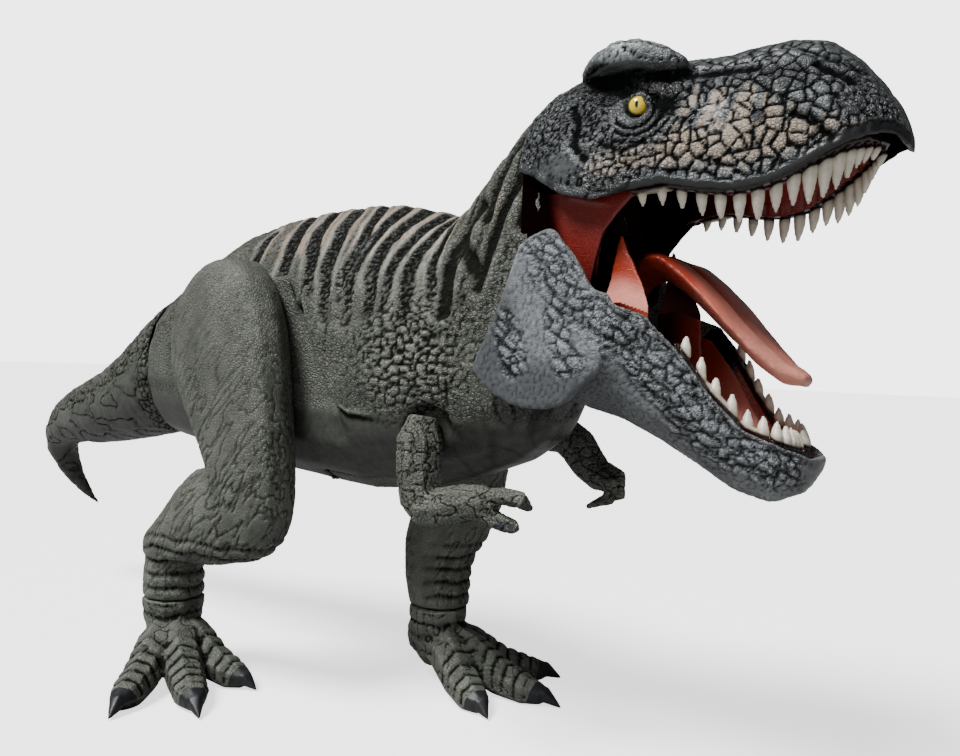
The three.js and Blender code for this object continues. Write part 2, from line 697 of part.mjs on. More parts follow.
function flapShape() {
  const shape = new THREE.Shape();
  const at = ([x, z]) => new THREE.Vector2(jaw.x + x * flap.ear, jaw.z + z * flap.ear);
  const [start, end] = flapAngles.map((angle) => THREE.MathUtils.degToRad(angle));
  shape.absarc(jaw.x, jaw.z, flap.radius, start, end, false);
  const [rimX, , , lowZ] = jawShares[1];
  shape.lineTo(jaw.x + rimX * jaw.length, jaw.z + lowZ * jaw.depth * flapCornerShare);
  shape.splineThru([...flapFrontShares].reverse().map(at));
  const [bend, top] = flapTopShares.map(at);
  shape.quadraticCurveTo(bend.x, bend.y, top.x, top.y);
  shape.splineThru([...flapRearShares].reverse().map(at));
  shape.closePath();
  return shape;
}

function lowerJaw() {
  let piece = loft(jawBowls(0, 0));
  piece = piece.subtract(loft(jawBowls(jaw.wall, overrun, openRear(jawShares).slice(0, -1))));
  const plate = sidePlate(flapShape(), flap.inner, flap.inner + flap.thickness, 3);
  const rearCut = crossBar(jaw.x, jaw.z, jaw.rearClear, -flap.inner, flap.inner, boreSideCount);
  piece = piece.subtract(rearCut).add(bothSides(plate));
  const boreEnd = jawPin.outer + seamGap;
  const bore = crossBar(jaw.x, jaw.z, jawPin.radius + seamGap, -boreEnd, boreEnd);
  return piece.subtract(bore);
}

// The jaw's rows with the first one drawn back, so that a cutter passes the open rear
function openRear(rows) {
  const [first, second] = rows;
  const back = first.map((value, column) => (column < 4 ? 2 * value - second[column] : value));
  return [back, ...rows];
}

// The red mouth floor, with a web that leans inwards on each side behind the cheek
function linerPiece() {
  const rows = jawShares.slice(1, -1);
  const inset = jaw.wall + seamGap;
  const drawn = seamGap / jaw.length;
  const back = (value, column) => (column % 2 === 0 && column < 4 ? value - drawn : value);
  const last = rows.at(-1).map(back);
  const seated = [...rows.slice(0, -1), last];
  const widest = flap.inner - seamGap;
  const inner = openRear(rows).slice(0, -1);
  const space = loft(jawBowls(inset, overrun, seated, widest));
  const piece = space
    .intersect(loft(jawBowls(-overrun, -jawLiner.lift, openRear(jawShares))))
    .subtract(loft(jawBowls(inset + jawLiner.wall, overrun, inner, widest - jawLiner.wall)));
  const above = box(vector(-vast, -vast, web.floor + web.height / 4), vector(vast, vast, vast));
  const webs = webFin(1).add(webFin(-1)).intersect(space.add(above));
  return piece.add(webs);
}

// The web: way up, shift forward, half length and inward lean, as shares
const webShares = [
  [0, 0, 1, 0], [0.5, 0.02, 1, 0.1], [0.72, 0.01, 0.62, 0.4], [0.88, -0.02, 0.30, 0.75],
  [1, -0.03, 0.05, 1],
];

function webFin(side) {
  return limb(webShares.map(([up, forward, long, lean]) => [
    web.x + forward * web.height, side * (web.y - lean * web.lean), web.floor + up * web.height,
    web.thickness / 2, long * web.halfLength]), 6, 6);
}

// The lower tooth row runs between two places along the jaw, as shares of its sections
const lowerRowShares = { start: 0.3375, end: 0.9, bend: 0.55 };
const lowerSizeShares = [0.8, 1.2];

function lowerPath(share) {
  const side = share < 0.5 ? -1 : 1;
  const along = 1 - Math.abs(2 * share - 1);
  const bend = Math.sin((along * Math.PI) / 2);
  const travel = THREE.MathUtils.lerp(along, bend, lowerRowShares.bend);
  const reached = THREE.MathUtils.lerp(lowerRowShares.start, lowerRowShares.end, travel);
  const slot = reached * (jawShares.length - 1);
  const low = Math.floor(slot);
  const [before, after] = [jawShares[low], jawShares[low + 1]];
  const mix = (column) => THREE.MathUtils.lerp(before[column], after[column], slot - low);
  const rim = jawPoint(mix(0), mix(1));
  const closing = Math.sqrt(Math.max(0, 1 - along ** 6));
  rim.y = side * closing * mix(4) * jaw.halfWidth;
  const outward = vector(along ** 3, side * (1 - along ** 4), 0).normalize();
  rim.addScaledVector(outward, -jaw.wall - lowerGum.fit - lowerGum.width / 2);
  return { point: rim, outward, size: THREE.MathUtils.lerp(...lowerSizeShares, along) };
}

// Tongue centre line and half sizes as shares: forward and up from the axle, width, height
const tongueShares = [
  [0.18, -0.33, 0.85, 0.85], [0.175, 0.00, 0.80, 0.85], [0.22, 0.17, 1.00, 1.00],
  [0.34, 0.215, 1.00, 1.00], [0.46, 0.145, 1.00, 0.95], [0.57, 0.045, 0.95, 0.88],
  [0.68, -0.07, 0.86, 0.75], [0.79, -0.165, 0.66, 0.56], [0.89, -0.20, 0.28, 0.28],
];

function tonguePiece() {
  const whole = limb(tongueShares.map(([x, z, width, lift]) => [
    jaw.x + x * tongue.length, 0, jaw.z + z * tongue.length,
    width * tongue.halfWidth, lift * tongue.halfHeight]), 10, 11);
  const floor = jaw.wall + jawLiner.wall + 2 * seamGap;
  return whole.subtract(loft(jawBowls(0, 0)).subtract(loft(jawBowls(floor, overrun))));
}

// Thigh outlines at heights: height, rear and front from the hip, and thickness, as shares
const rightThighShares = [
  [0.994, -0.12, 0.12, 0.60], [0.977, -0.27, 0.24, 0.76], [0.954, -0.38, 0.34, 0.86],
  [0.920, -0.48, 0.45, 0.94], [0.874, -0.58, 0.54, 0.98], [0.817, -0.62, 0.61, 1.00],
  [0.746, -0.60, 0.65, 1.00], [0.666, -0.46, 0.68, 0.98], [0.577, -0.25, 0.70, 0.95],
  [0.523, -0.14, 0.71, 0.93], [0.469, -0.10, 0.71, 0.90], [0.414, -0.10, 0.68, 0.84],
  [0.363, -0.10, 0.58, 0.74], [0.329, -0.06, 0.43, 0.62], [0.303, 0.02, 0.24, 0.44],
];

// Limb controls: forward from the hip as a share of the reach, height, half sizes
const rightShankShares = [
  [0.13, 0.414, 0.85, 0.40], [-0.12, 0.403, 0.95, 0.43], [-0.29, 0.380, 0.98, 0.39],
  [-0.45, 0.354, 0.96, 0.32], [-0.59, 0.328, 0.94, 0.265], [-0.72, 0.312, 0.90, 0.235],
  [-0.85, 0.305, 0.75, 0.17], [-0.92, 0.303, 0.35, 0.08],
];
const rightMetaShares = [
  [-0.71, 0.345, 0.75, 0.17], [-0.72, 0.300, 0.95, 0.24], [-0.72, 0.243, 1.00, 0.255],
  [-0.72, 0.165, 1.00, 0.26],
];
const leftThighShares = [
  [-0.54, 0.893, 0.55, 0.14], [-0.36, 0.870, 0.85, 0.44], [0.00, 0.817, 0.97, 0.61],
  [0.38, 0.777, 0.97, 0.59], [0.78, 0.720, 0.95, 0.54], [1.13, 0.657, 0.92, 0.48],
  [1.38, 0.594, 0.88, 0.40], [1.50, 0.545, 0.75, 0.28], [1.56, 0.515, 0.45, 0.12],
];
const leftShankShares = [
  [1.36, 0.600, 0.60, 0.26], [1.41, 0.530, 0.98, 0.35], [1.35, 0.460, 1.05, 0.36],
  [1.20, 0.391, 1.12, 0.38], [1.10, 0.320, 1.12, 0.34], [1.09, 0.257, 1.08, 0.31],
  [1.13, 0.165, 1.00, 0.26],
];

function legLimb(rows, side, middleY, count, steps) {
  return limb(rows.map(([forward, height, across, lift]) => [
    hip.x + forward * leg.reach, side * middleY, height * leg.height,
    across * leg.halfAcross, lift * leg.reach]), count, steps);
}

const thighRoundShare = 0.8;

function rightThigh(inset) {
  const rings = rightThighShares.map(([height, rear, front, thick]) => {
    const outer = -(leg.face + thick * (leg.outer - leg.face) - inset);
    const inner = -(leg.face - overrun + inset);
    const middle = hip.x + leg.reach * (rear + front) / 2;
    const half = leg.reach * (front - rear) / 2 - inset;
    const ring = [];
    for (let i = 0; i < 12; i += 1) {
      const angle = (2 * Math.PI * i) / 12;
      const x = middle + half * raise(Math.cos(angle), thighRoundShare);
      const out = raise(Math.sin(angle), thighRoundShare);
      const y = (outer + inner) / 2 + ((inner - outer) / 2) * out;
      ring.push(vector(x, y, height * leg.height));
    }
    return ring;
  });
  return loft(rings);
}

const thighMiddle = (leg.face + leg.outer) / 2 - overrun / 2;
const thighSpaceShare = 1.35;   // how far below the hip the inner side is cut flat, in reaches

function legSolid(side) {
  const limbs = side < 0
    ? [rightThigh(0), legLimb(rightShankShares, side, ankle.y + overrun, 10, 6),
      legLimb(rightMetaShares, side, ankle.y, 10, 3)]
    : [legLimb(leftThighShares, side, thighMiddle, 11, 7),
      legLimb(leftShankShares, side, ankle.y + overrun / 2, 10, 6)];
  let solid = limbs[0];
  for (const piece of limbs.slice(1)) {
    solid = solid.add(piece);
  }
  const above = box(vector(-vast, -vast, ankle.z + runGap / 2), vector(vast, vast, vast));
  const flatFrom = hip.z - leg.reach * thighSpaceShare;
  const thighSpace = box(vector(-vast, -vast, flatFrom), vector(vast, vast, vast));
  const inboard = side > 0
    ? box(vector(-vast, -vast, -vast), vector(vast, leg.face, vast))
    : box(vector(-vast, -leg.face, -vast), vector(vast, vast, vast));
  return solid.intersect(above).subtract(inboard.intersect(thighSpace));
}

// The ankles stand under the last row of each shank
function ankleX(side) {
  const [forward] = (side > 0 ? leftShankShares : rightMetaShares).at(-1);
  return hip.x + forward * leg.reach;
}

function upright(x, y, radius, fromZ, toZ) {
  const geometry = new THREE.CylinderGeometry(radius, radius, toZ - fromZ, pinSideCount);
  geometry.rotateX(Math.PI / 2);
  geometry.translate(x, y, (fromZ + toZ) / 2);
  return solidOf(geometry);
}

function legHalf(side, outerHalf, whole) {
  const y = leg.split + (outerHalf ? seamGap / 2 : -seamGap / 2);
  const half = outerHalf
    ? whole.intersect(sideSpace(side, y))
    : whole.subtract(sideSpace(side, y));
  const pegTop = ankle.z + ankle.pegLength / 2 + seamGap;
  const pegHole = upright(ankleX(side), side * ankle.y, ankle.pegRadius + seamGap, 0, pegTop);
  let piece = half.subtract(pegHole);
  const boreTo = side * (leg.face + hipPeg.reach + runGap);
  piece = piece.subtract(crossBar(hip.x, hip.z, hip.boreRadius + seamGap, 0, boreTo, boreSideCount));
  return piece;
}

function legHollow(side) {
  const shrink = (rows) => rows.slice(1, -2).map(([x, z, across, lift]) => [
    x, z, across - wall / leg.halfAcross, lift - wall / leg.reach]);
  const high = box(vector(-vast, -vast, hip.z - leg.reach), vector(vast, vast, vast));
  const thigh = side < 0
    ? rightThigh(wall).intersect(high)
    : legLimb(shrink(leftThighShares), side, thighMiddle, 8, 6);
  const inboard = side > 0
    ? box(vector(-vast, -vast, -vast), vector(vast, leg.face + wall, vast))
    : box(vector(-vast, -leg.face - wall, -vast), vector(vast, vast, vast));
  const hub = crossBar(hip.x, hip.z, hip.boreRadius + 2 * wall, 0, side * leg.split);
  return thigh.subtract(inboard).subtract(hub);
}

// A peg turned from a flange behind the trunk's wall to its seat in the limb
function turnedPeg(x, z, side, wallFace, peg, radius) {
  const flangeEnd = wallFace - wall - runGap;
  const profile = [
    [0, flangeEnd - peg.flange], [peg.flangeRadius, flangeEnd - peg.flange],
    [peg.flangeRadius, flangeEnd], [radius, flangeEnd],
    [radius, wallFace + peg.reach], [0, wallFace + peg.reach],
  ];
  const geometry = new THREE.LatheGeometry(profile.map(([r, y]) => new THREE.Vector2(r, y)), 12);
  const solid = solidOf(geometry);
  const mesh = solid.getMesh();
  const points = [];
  for (let i = 0; i < mesh.numVert; i += 1) {
    const [px, py, pz] = mesh.vertProperties.slice(i * mesh.numProp, i * mesh.numProp + 3);
    points.push(vector(x + px, side * py, z + pz));
  }
  const faces = [];
  for (let i = 0; i < mesh.numTri; i += 1) {
    faces.push([...mesh.triVerts.slice(3 * i, 3 * i + 3)]);
  }
  return solidFrom(points, faces);
}

// Toe: from the ankle's core out and down to a hooked claw, by share of its reach
const toeShares = [
  [0.00, 0.58, 1.25, 1.35], [0.20, 0.50, 1.20, 1.30], [0.42, 0.30, 1.10, 1.10],
  [0.62, 0.165, 1.02, 0.95], [0.76, 0.135, 0.90, 0.84], [0.86, 0.125, 0.55, 0.50],
];
const clawShares = [
  [0.70, 0.165, 0.9, 0.9], [0.82, 0.155, 1.0, 1.0], [0.93, 0.10, 0.66, 0.7], [1.0, 0.02, 0.12, 0.12],
];

function toe(side, x, direction, reach) {
  const heading = vector(Math.cos(direction), Math.sin(direction), 0);
  const across = vector(-heading.y, heading.x, 0);
  const run = (rows, radius, count, steps) => limb(rows.map(([out, height, a, b]) => [
    x + heading.x * out * reach, side * ankle.y + heading.y * out * reach, height * ankle.z,
    a * radius, b * radius]), count, steps, across);
  return run(toeShares, foot.toeRadius, 7, 4).add(run(clawShares, foot.clawRadius, 5, 2));
}

// The foot's core under the ankle, and the small back toe, by share of the ankle's height
const footCoreShares = [[1, 1], [0.80, 0.97], [0.55, 0.84], [0.35, 0.70], [0.20, 0.40]];
const spurShares = [[0.45, 0.94, 0.6], [0.56, 0.66, 1.0], [0.56, 0.46, 0.75], [0.47, 0.34, 0.2]];

function footPiece(side, angle) {
  const x = ankleX(side);
  const turn = THREE.MathUtils.degToRad(angle);
  const spread = THREE.MathUtils.degToRad(toeAngle);
  const top = ankle.z - runGap / 2;
  const y = side * ankle.y;
  let piece = limb(footCoreShares.map(([up, wide]) => [
    x, y, top * up, ankle.radius * wide, ankle.radius * wide]), 10, 4);
  const toes = [
    [-side * spread, toeReach.inner], [0, toeReach.middle], [side * spread, toeReach.outer],
  ];
  for (const [aside, reach] of toes) {
    piece = piece.add(toe(side, x, turn + aside, reach));
  }
  const back = turn - side * THREE.MathUtils.degToRad(spurAngle);
  const heading = vector(Math.cos(back), Math.sin(back), 0);
  piece = piece.add(limb(spurShares.map(([out, up, wide]) => [
    x + heading.x * foot.spurReach * out, y + heading.y * foot.spurReach * out, top * up,
    foot.spurRadius * wide, foot.spurRadius * wide]), 6, 3, heading));
  const aboveFloor = box(vector(-vast, -vast, 0), vector(vast, vast, top));
  const hole = upright(x, y, ankle.pegRadius, top - ankle.pegLength / 2 - seamGap, vast);
  return piece.intersect(aboveFloor).subtract(hole);
}

function anklePeg(side) {
  const half = ankle.pegLength / 2;
  const y = side * ankle.y;
  return upright(ankleX(side), y, ankle.pegRadius - seamGap, ankle.z - half, ankle.z + half);
}

// Arm centre lines: forward and up from the shoulder, outward, half across, half lift
const rightArmShares = [
  [0.00, 0.22, 0.42, 0.70, 0.50], [-0.01, -0.05, 0.50, 0.90, 1.02], [0.01, -0.42, 0.55, 0.90, 1.00],
  [0.04, -0.70, 0.58, 0.85, 0.92], [0.11, -0.80, 0.60, 0.80, 0.84], [0.25, -0.76, 0.60, 0.72, 0.78],
  [0.44, -0.67, 0.58, 0.65, 0.72], [0.60, -0.64, 0.56, 0.56, 0.68], [0.70, -0.63, 0.54, 0.36, 0.50],
];
const rightFingerShares = [
  [[0.56, -0.60, 0.55, 1.0], [0.76, -0.55, 0.56, 1.0], [0.89, -0.57, 0.46, 0.95], [0.90, -0.69, 0.08, 0.4]],
  [[0.54, -0.71, 0.55, 1.0], [0.70, -0.81, 0.54, 1.0], [0.83, -0.87, 0.42, 0.90], [0.78, -0.93, 0.02, 0.4]],
];
const leftArmShares = [
  [-0.10, 0.00, 0.42, 0.70, 0.50], [0.00, -0.02, 0.52, 0.90, 1.00], [0.24, 0.00, 0.84, 0.86, 1.00],
  [0.46, -0.05, 0.86, 0.82, 1.00], [0.61, -0.29, 0.82, 0.76, 0.94], [0.75, -0.48, 0.74, 0.70, 0.80],
  [0.85, -0.53, 0.66, 0.62, 0.66], [0.92, -0.54, 0.60, 0.40, 0.45],
];
const leftFingerShares = [
  [[0.84, -0.41, 0.66, 1.0], [0.96, -0.49, 0.70, 1.0], [0.97, -0.71, 0.66, 1.0], [0.74, -0.87, 0.60, 0.4]],
  [[0.84, -0.49, 0.40, 1.0], [0.96, -0.57, 0.26, 1.0], [0.96, -0.75, 0.16, 0.9], [0.78, -0.87, 0.08, 0.4]],
];

function armPiece(side, armRows, fingerRows) {
  const face = shoulder.face + runGap;
  const at = ([forward, up, out]) => [
    shoulder.x + forward * arm.reach, side * (face + out * arm.thickness), shoulder.z + up * arm.height];
  let piece = limb(armRows.map((row) => [...at(row), row[3] * arm.radius, row[4] * arm.radius]), 8, 8);
  for (const finger of fingerRows) {
    piece = piece.add(limb(finger.map((row) => [...at(row), row[3] * arm.fingerRadius,
      row[3] * arm.fingerRadius]), 6, 3));
  }
  const seat = crossBar(shoulder.x, shoulder.z, shoulder.boreRadius, 0,
    side * (shoulder.face + shoulderPeg.reach + seamGap));
  return piece.intersect(sideSpace(side, face)).subtract(seat);
}

// Materials
const paint = (color, roughness = 0.6) => new THREE.MeshStandardMaterial({ color, roughness });
const hide = paint('#6f716c');
const jawGrey = paint('#6c7076');
const charcoal = paint('#4a4b4a');
const red = paint('#8c2f26', 0.45);
const pink = paint('#c8675c', 0.45);
const ivory = paint('#d9d1bd', 0.4);
const amber = paint('#d8b421', 0.2);
const nylon = paint('#3a3a3a', 0.5);
const steel = new THREE.MeshStandardMaterial({ color: '#9a9a9a', roughness: 0.35, metalness: 1 });

const figure = new THREE.Group();

function place(name, solid, material) {
  const { numProp, vertProperties, triVerts } = solid.getMesh();
  const geometry = new THREE.BufferGeometry();
  const positions = [];
  for (let i = 0; i < vertProperties.length; i += numProp) {
    positions.push(...vertProperties.slice(i, i + 3));
  }
  geometry.setAttribute('position', new THREE.Float32BufferAttribute(positions, 3));
  geometry.setIndex([...triVerts]);
  geometry.computeVertexNormals();
  const mesh = new THREE.Mesh(geometry, material.clone());
  mesh.name = name;
  figure.add(mesh);
}

place('torso_right_shell', trunkShell(-1), hide);
place('torso_left_shell', trunkShell(1), hide);
place('belly_hatch', hatchDoor(), hide);
place('hatch_pin', crossBar(
  hingeLine.x, hingeLine.z, hinge.pinRadius, -hinge.halfLength, hinge.halfLength), steel);
place('tail', tailPiece(), hide);
place('skull_shell', skull(), charcoal);
place('right_eye', ball(eye.x, -eye.y, eye.z, eye.radius, 9), amber);
place('left_eye', ball(eye.x, eye.y, eye.z, eye.radius, 9), amber);
place('palate_liner', palatePiece(), red);
place('upper_teeth', toothRow(upperPath, upperGum, upperTooth, upperToothCount, -1), ivory);
place('lower_jaw', lowerJaw(), jawGrey);
place('jaw_liner', linerPiece(), pink);
place('lower_teeth', toothRow(lowerPath, lowerGum, lowerTooth, lowerToothCount, 1), ivory);
place('tongue', tonguePiece(), pink);

const sides = [
  ['right', -1, rightFootAngle, rightArmShares, rightFingerShares],
  ['left', 1, leftFootAngle, leftArmShares, leftFingerShares],
];
for (const [word, side, angle, armRows, fingerRows] of sides) {
  place(`${word}_jaw_pin`, crossBar(
    jaw.x, jaw.z, jawPin.radius, side * jawPin.inner, side * jawPin.outer), steel);
  const whole = legSolid(side).subtract(legHollow(side));
  place(`${word}_leg_outer`, legHalf(side, true, whole), hide);
  place(`${word}_leg_inner`, legHalf(side, false, whole), hide);
  place(`${word}_hip_peg`, turnedPeg(
    hip.x, hip.z, side, hip.face, hipPeg, hip.boreRadius - runGap), nylon);
  place(`${word}_foot`, footPiece(side, angle), hide);
  place(`${word}_ankle_peg`, anklePeg(side), nylon);
  place(`${word}_arm`, armPiece(side, armRows, fingerRows), hide);
  place(`${word}_arm_peg`, turnedPeg(shoulder.x, shoulder.z, side, shoulder.face, shoulderPeg,
    shoulder.boreRadius - runGap), nylon);
}

// The floor's origin lies under the middle of the whole figure
const bounds = new THREE.Box3().setFromObject(figure);
const middle = bounds.getCenter(vector());
figure.position.set(-middle.x, -middle.y, -bounds.min.z);

export default figure;
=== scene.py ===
import json
import math
from itertools import product

import bpy
import numpy as np
from mathutils import Matrix, Vector


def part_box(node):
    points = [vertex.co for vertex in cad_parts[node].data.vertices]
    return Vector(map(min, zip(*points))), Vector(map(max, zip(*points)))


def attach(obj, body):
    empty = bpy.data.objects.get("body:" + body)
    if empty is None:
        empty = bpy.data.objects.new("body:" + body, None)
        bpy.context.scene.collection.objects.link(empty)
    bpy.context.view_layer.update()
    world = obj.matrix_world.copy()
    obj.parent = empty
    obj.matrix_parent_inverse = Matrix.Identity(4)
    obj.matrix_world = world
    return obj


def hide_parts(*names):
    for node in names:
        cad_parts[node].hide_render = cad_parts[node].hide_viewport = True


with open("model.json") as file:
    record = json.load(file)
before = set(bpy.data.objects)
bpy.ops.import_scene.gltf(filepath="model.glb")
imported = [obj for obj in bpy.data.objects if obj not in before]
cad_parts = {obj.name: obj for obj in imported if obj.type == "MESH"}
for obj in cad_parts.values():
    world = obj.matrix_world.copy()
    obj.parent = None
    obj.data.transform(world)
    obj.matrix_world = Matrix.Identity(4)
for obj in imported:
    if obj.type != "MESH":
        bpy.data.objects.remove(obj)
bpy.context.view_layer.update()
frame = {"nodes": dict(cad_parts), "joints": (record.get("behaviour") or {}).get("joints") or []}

bl_info = {
    "name": "Toy Tyrannosaur Figure",
    "version": (1, 0, 0),
    "blender": (4, 5, 0),
    "location": "View3D > Sidebar > Figure",
    "description": "Moulded skins, paint and a studio for a jointed toy tyrannosaur",
    "category": "Object",
}

MM = 0.001


def joint_place(name):
    """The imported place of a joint, in metres."""
    return next(Vector(joint["pos_m"]) for joint in frame["joints"] if joint["name"] == name)


# The sculpting below counts in millimetres from a point on the floor 249 mm behind the jaw's axle
JAW_FROM_ORIGIN = 249.0
ORIGIN = Vector((joint_place("jaw_hinge").x - JAW_FROM_ORIGIN * MM, joint_place("jaw_hinge").y, 0))
# Half of the gap between two moulded halves, and how far from the middle plane each leg splits in two
SEAM_GAP = 0.1
LEG_SPLIT = 66.0
# The flat inner face of a leg lies within this distance of the middle plane and stays smooth
LEG_FACE = 54.5
SHIN_TOP = 128
EYE_X, EYE_Z = 305, 424
# Steps of the smoothing weight, and half the cutting block in metres
SOFT_LEVELS = 16
BLOCK_REACH = 1.5

# The camera was found from the photograph; its place is in the sculpting frame
CAMERA_PLACE = (521.5, -503.4, 271.3)
CAMERA_RIGHT = (0.8131, 0.5810, 0.0366)
CAMERA_AHEAD = (-0.5808, 0.8138, -0.0171)
KEY_AHEAD = (0.20, 0.52, -0.83)
KEY_ANGLE = 22
FILL_SIZE = 0.9
FILL_PLACE = (0.9, -1.3, 0.6)
FILL_AIM = (0.3, 0, 0.3)


def linear(code):
    """A colour written as six hex digits, as linear red, green and blue."""
    parts = [int(code[i:i + 2], 16) / 255 for i in (0, 2, 4)]
    return tuple(p / 12.92 if p <= 0.04045 else ((p + 0.055) / 1.055) ** 2.4 for p in parts)


def colour(name, code, description):
    """A colour setting."""
    return bpy.props.FloatVectorProperty(
        name=name, description=description, default=linear(code), subtype="COLOR", size=3, min=0, max=1)


def length(name, default, description):
    """A length setting in metres."""
    return bpy.props.FloatProperty(
        name=name, description=description, default=default, unit="LENGTH", subtype="DISTANCE",
        min=0.0001, precision=4)


class FigurePaint(bpy.types.PropertyGroup):
    """Colours of the paint and the plastics."""

    hide: colour("Hide", "585b53", "Body, limbs and tail")
    jaw: colour("Jaw", "65686a", "Lower jaw and cheek plates")
    head: colour("Head", "3f4243", "Top of the head")
    band: colour("Bands", "1b1c1a", "Dark bands over the back")
    tan: colour("Tan", "8d8072", "Patches on the snout and back")
    # Also the painted shadow under the brows and in the eye sockets
    lip: colour("Lip", "141516", "Rim of the upper lip and the claws")
    mouth: colour("Mouth", "7a1a10", "Roof of the mouth and curtains")
    gum: colour("Jaw lining", "cc7668", "Inner walls of the lower jaw")
    tooth: colour("Teeth", "dcd5c4", "Teeth")
    iris: colour("Iris", "e8c81c", "Eyes")


class FigureSculpt(bpy.types.PropertyGroup):
    """How finely the skins are moulded."""

    body_cell: length("Body grain", 0.0019, "Mesh size on the trunk and tail")
    head_cell: length("Head grain", 0.0014, "Mesh size on the head and jaw")
    limb_cell: length("Limb grain", 0.0015, "Mesh size on the legs")
    small_cell: length("Fine grain", 0.0009, "Mesh size on teeth, arms and feet")
    pebble: length("Pebble size", 0.0030, "Width of a scale in the moulded skin")


class FigureStudio(bpy.types.PropertyGroup):
    """Camera and lights."""

    lens: bpy.props.FloatProperty(
        name="Lens", description="Focal length on a 36 mm sensor", default=31.6, min=10, max=200)
    key: bpy.props.FloatProperty(
        name="Key light", description="Strength of the soft key light", default=7.0, min=0)
    fill: bpy.props.FloatProperty(
        name="Fill light", description="Power of the fill light", default=3.0, unit="POWER", min=0)
    sky: bpy.props.FloatProperty(
        name="Sky", description="Light of the even white surroundings", default=0.10, min=0)
    backdrop: bpy.props.FloatProperty(
        name="Backdrop", description="Brightness of the white surroundings in the picture", default=4.0, min=0)


def select_only(obj):
    """Leave one object selected and active."""
    bpy.ops.object.select_all(action="DESELECT")
    obj.select_set(True)
    bpy.context.view_layer.objects.active = obj


def join(piece, *others):
    """Make other objects part of a piece."""
    select_only(piece)
    for other in others:
        other.select_set(True)
    bpy.ops.object.join()


def modify(obj, kind, **settings):
    """Add a modifier, set it and apply it."""
    select_only(obj)
    bpy.ops.object.modifier_add(type=kind)
    modifier = obj.modifiers[-1]
    for key, value in settings.items():
        setattr(modifier, key, value)
    bpy.ops.object.modifier_apply(modifier=modifier.name)


def copy_nodes(names, title):
    """One new object with merged copies of some CAD nodes' meshes."""
    copies = []
    for name in names:
        mesh = frame["nodes"][name].data.copy()
        mesh.materials.clear()
        copies.append(bpy.data.objects.new(title, mesh))
        bpy.context.scene.collection.objects.link(copies[-1])
    piece = copies[0]
    if len(copies) > 1:
        join(*copies)
    piece.name = piece.data.name = title
    select_only(piece)
    bpy.ops.object.mode_set(mode="EDIT")
    bpy.ops.mesh.select_all(action="SELECT")
    bpy.ops.mesh.remove_doubles(threshold=1e-6)
    bpy.ops.mesh.customdata_custom_splitnormals_clear()
    bpy.ops.object.mode_set(mode="OBJECT")
    return piece


def coarse(cell):
    """The mesh size, as it is given."""
    return cell


def remould(piece, cell):
    """Turn a piece into an even skin of small faces."""
    modify(piece, "REMESH", mode="VOXEL", voxel_size=coarse(cell), adaptivity=0.0, use_smooth_shade=True)


def read(piece):
    """Points in millimetres from the sculpting origin, and normals."""
    count = len(piece.data.vertices)
    points = np.empty(count * 3, np.float32)
    normals = np.empty(count * 3, np.float32)
    piece.data.vertices.foreach_get("co", points)
    piece.data.vertex_normals.foreach_get("vector", normals)
    points = (points.reshape(-1, 3).astype(float) - np.array(ORIGIN)) / MM
    return points, normals.reshape(-1, 3).astype(float)


def write(piece, points):
    """Put back points that were read."""
    placed = (points * MM + np.array(ORIGIN)).astype(np.float32)
    piece.data.vertices.foreach_set("co", placed.ravel())
    piece.data.update()


def mark(piece, name, values):
    """Keep a number from 0 to 1 on each point, for the paint to read."""
    layer = piece.data.attributes.get(name) or piece.data.attributes.new(name, "FLOAT", "POINT")
    layer.data.foreach_set("value", np.clip(values, 0, 1).astype(np.float32))


def neighbours(piece):
    """Both ends of every edge, each way round, and how many neighbours each point has."""
    edges = np.empty(len(piece.data.edges) * 2, np.int32)
    piece.data.edges.foreach_get("vertices", edges)
    edges = edges.reshape(-1, 2)
    ends = np.concatenate([edges[:, 0], edges[:, 1]])
    others = np.concatenate([edges[:, 1], edges[:, 0]])
    return ends, others, np.maximum(np.bincount(ends, minlength=len(piece.data.vertices)), 1)


def gather(vectors, ends, others):
    """The sum of the vectors at each point's neighbours."""
    return np.stack([np.bincount(ends, vectors[others, k], len(vectors)) for k in range(3)], 1)


def mark_form(piece, mask):
    """Keep how hollow and how raised the skin is at each point, for the painted shade in hollows and the painted
    highlight on raised edges.
    """
    points, normals = read(piece)
    ends, others, share = neighbours(piece)
    around = points
    for _ in range(2):
        around = gather(around, ends, others) / share[:, None]
    bend = ((around - points) * normals).sum(1) / np.linalg.norm(points[ends] - points[others], axis=1).mean()
    mark(piece, "hollow", step(0.015, 0.17, bend) * mask)
    mark(piece, "ridge", step(0.07, 0.26, -bend) * mask)


def step(low, high, values):
    """A smooth step from 0 to 1 between two values."""
    t = np.clip((values - low) / (high - low), 0, 1)
    return t * t * (3 - 2 * t)


def height_on(path, x):
    """The height of a path of (x, z) points at x."""
    return np.interp(x, [p[0] for p in path], [p[1] for p in path])


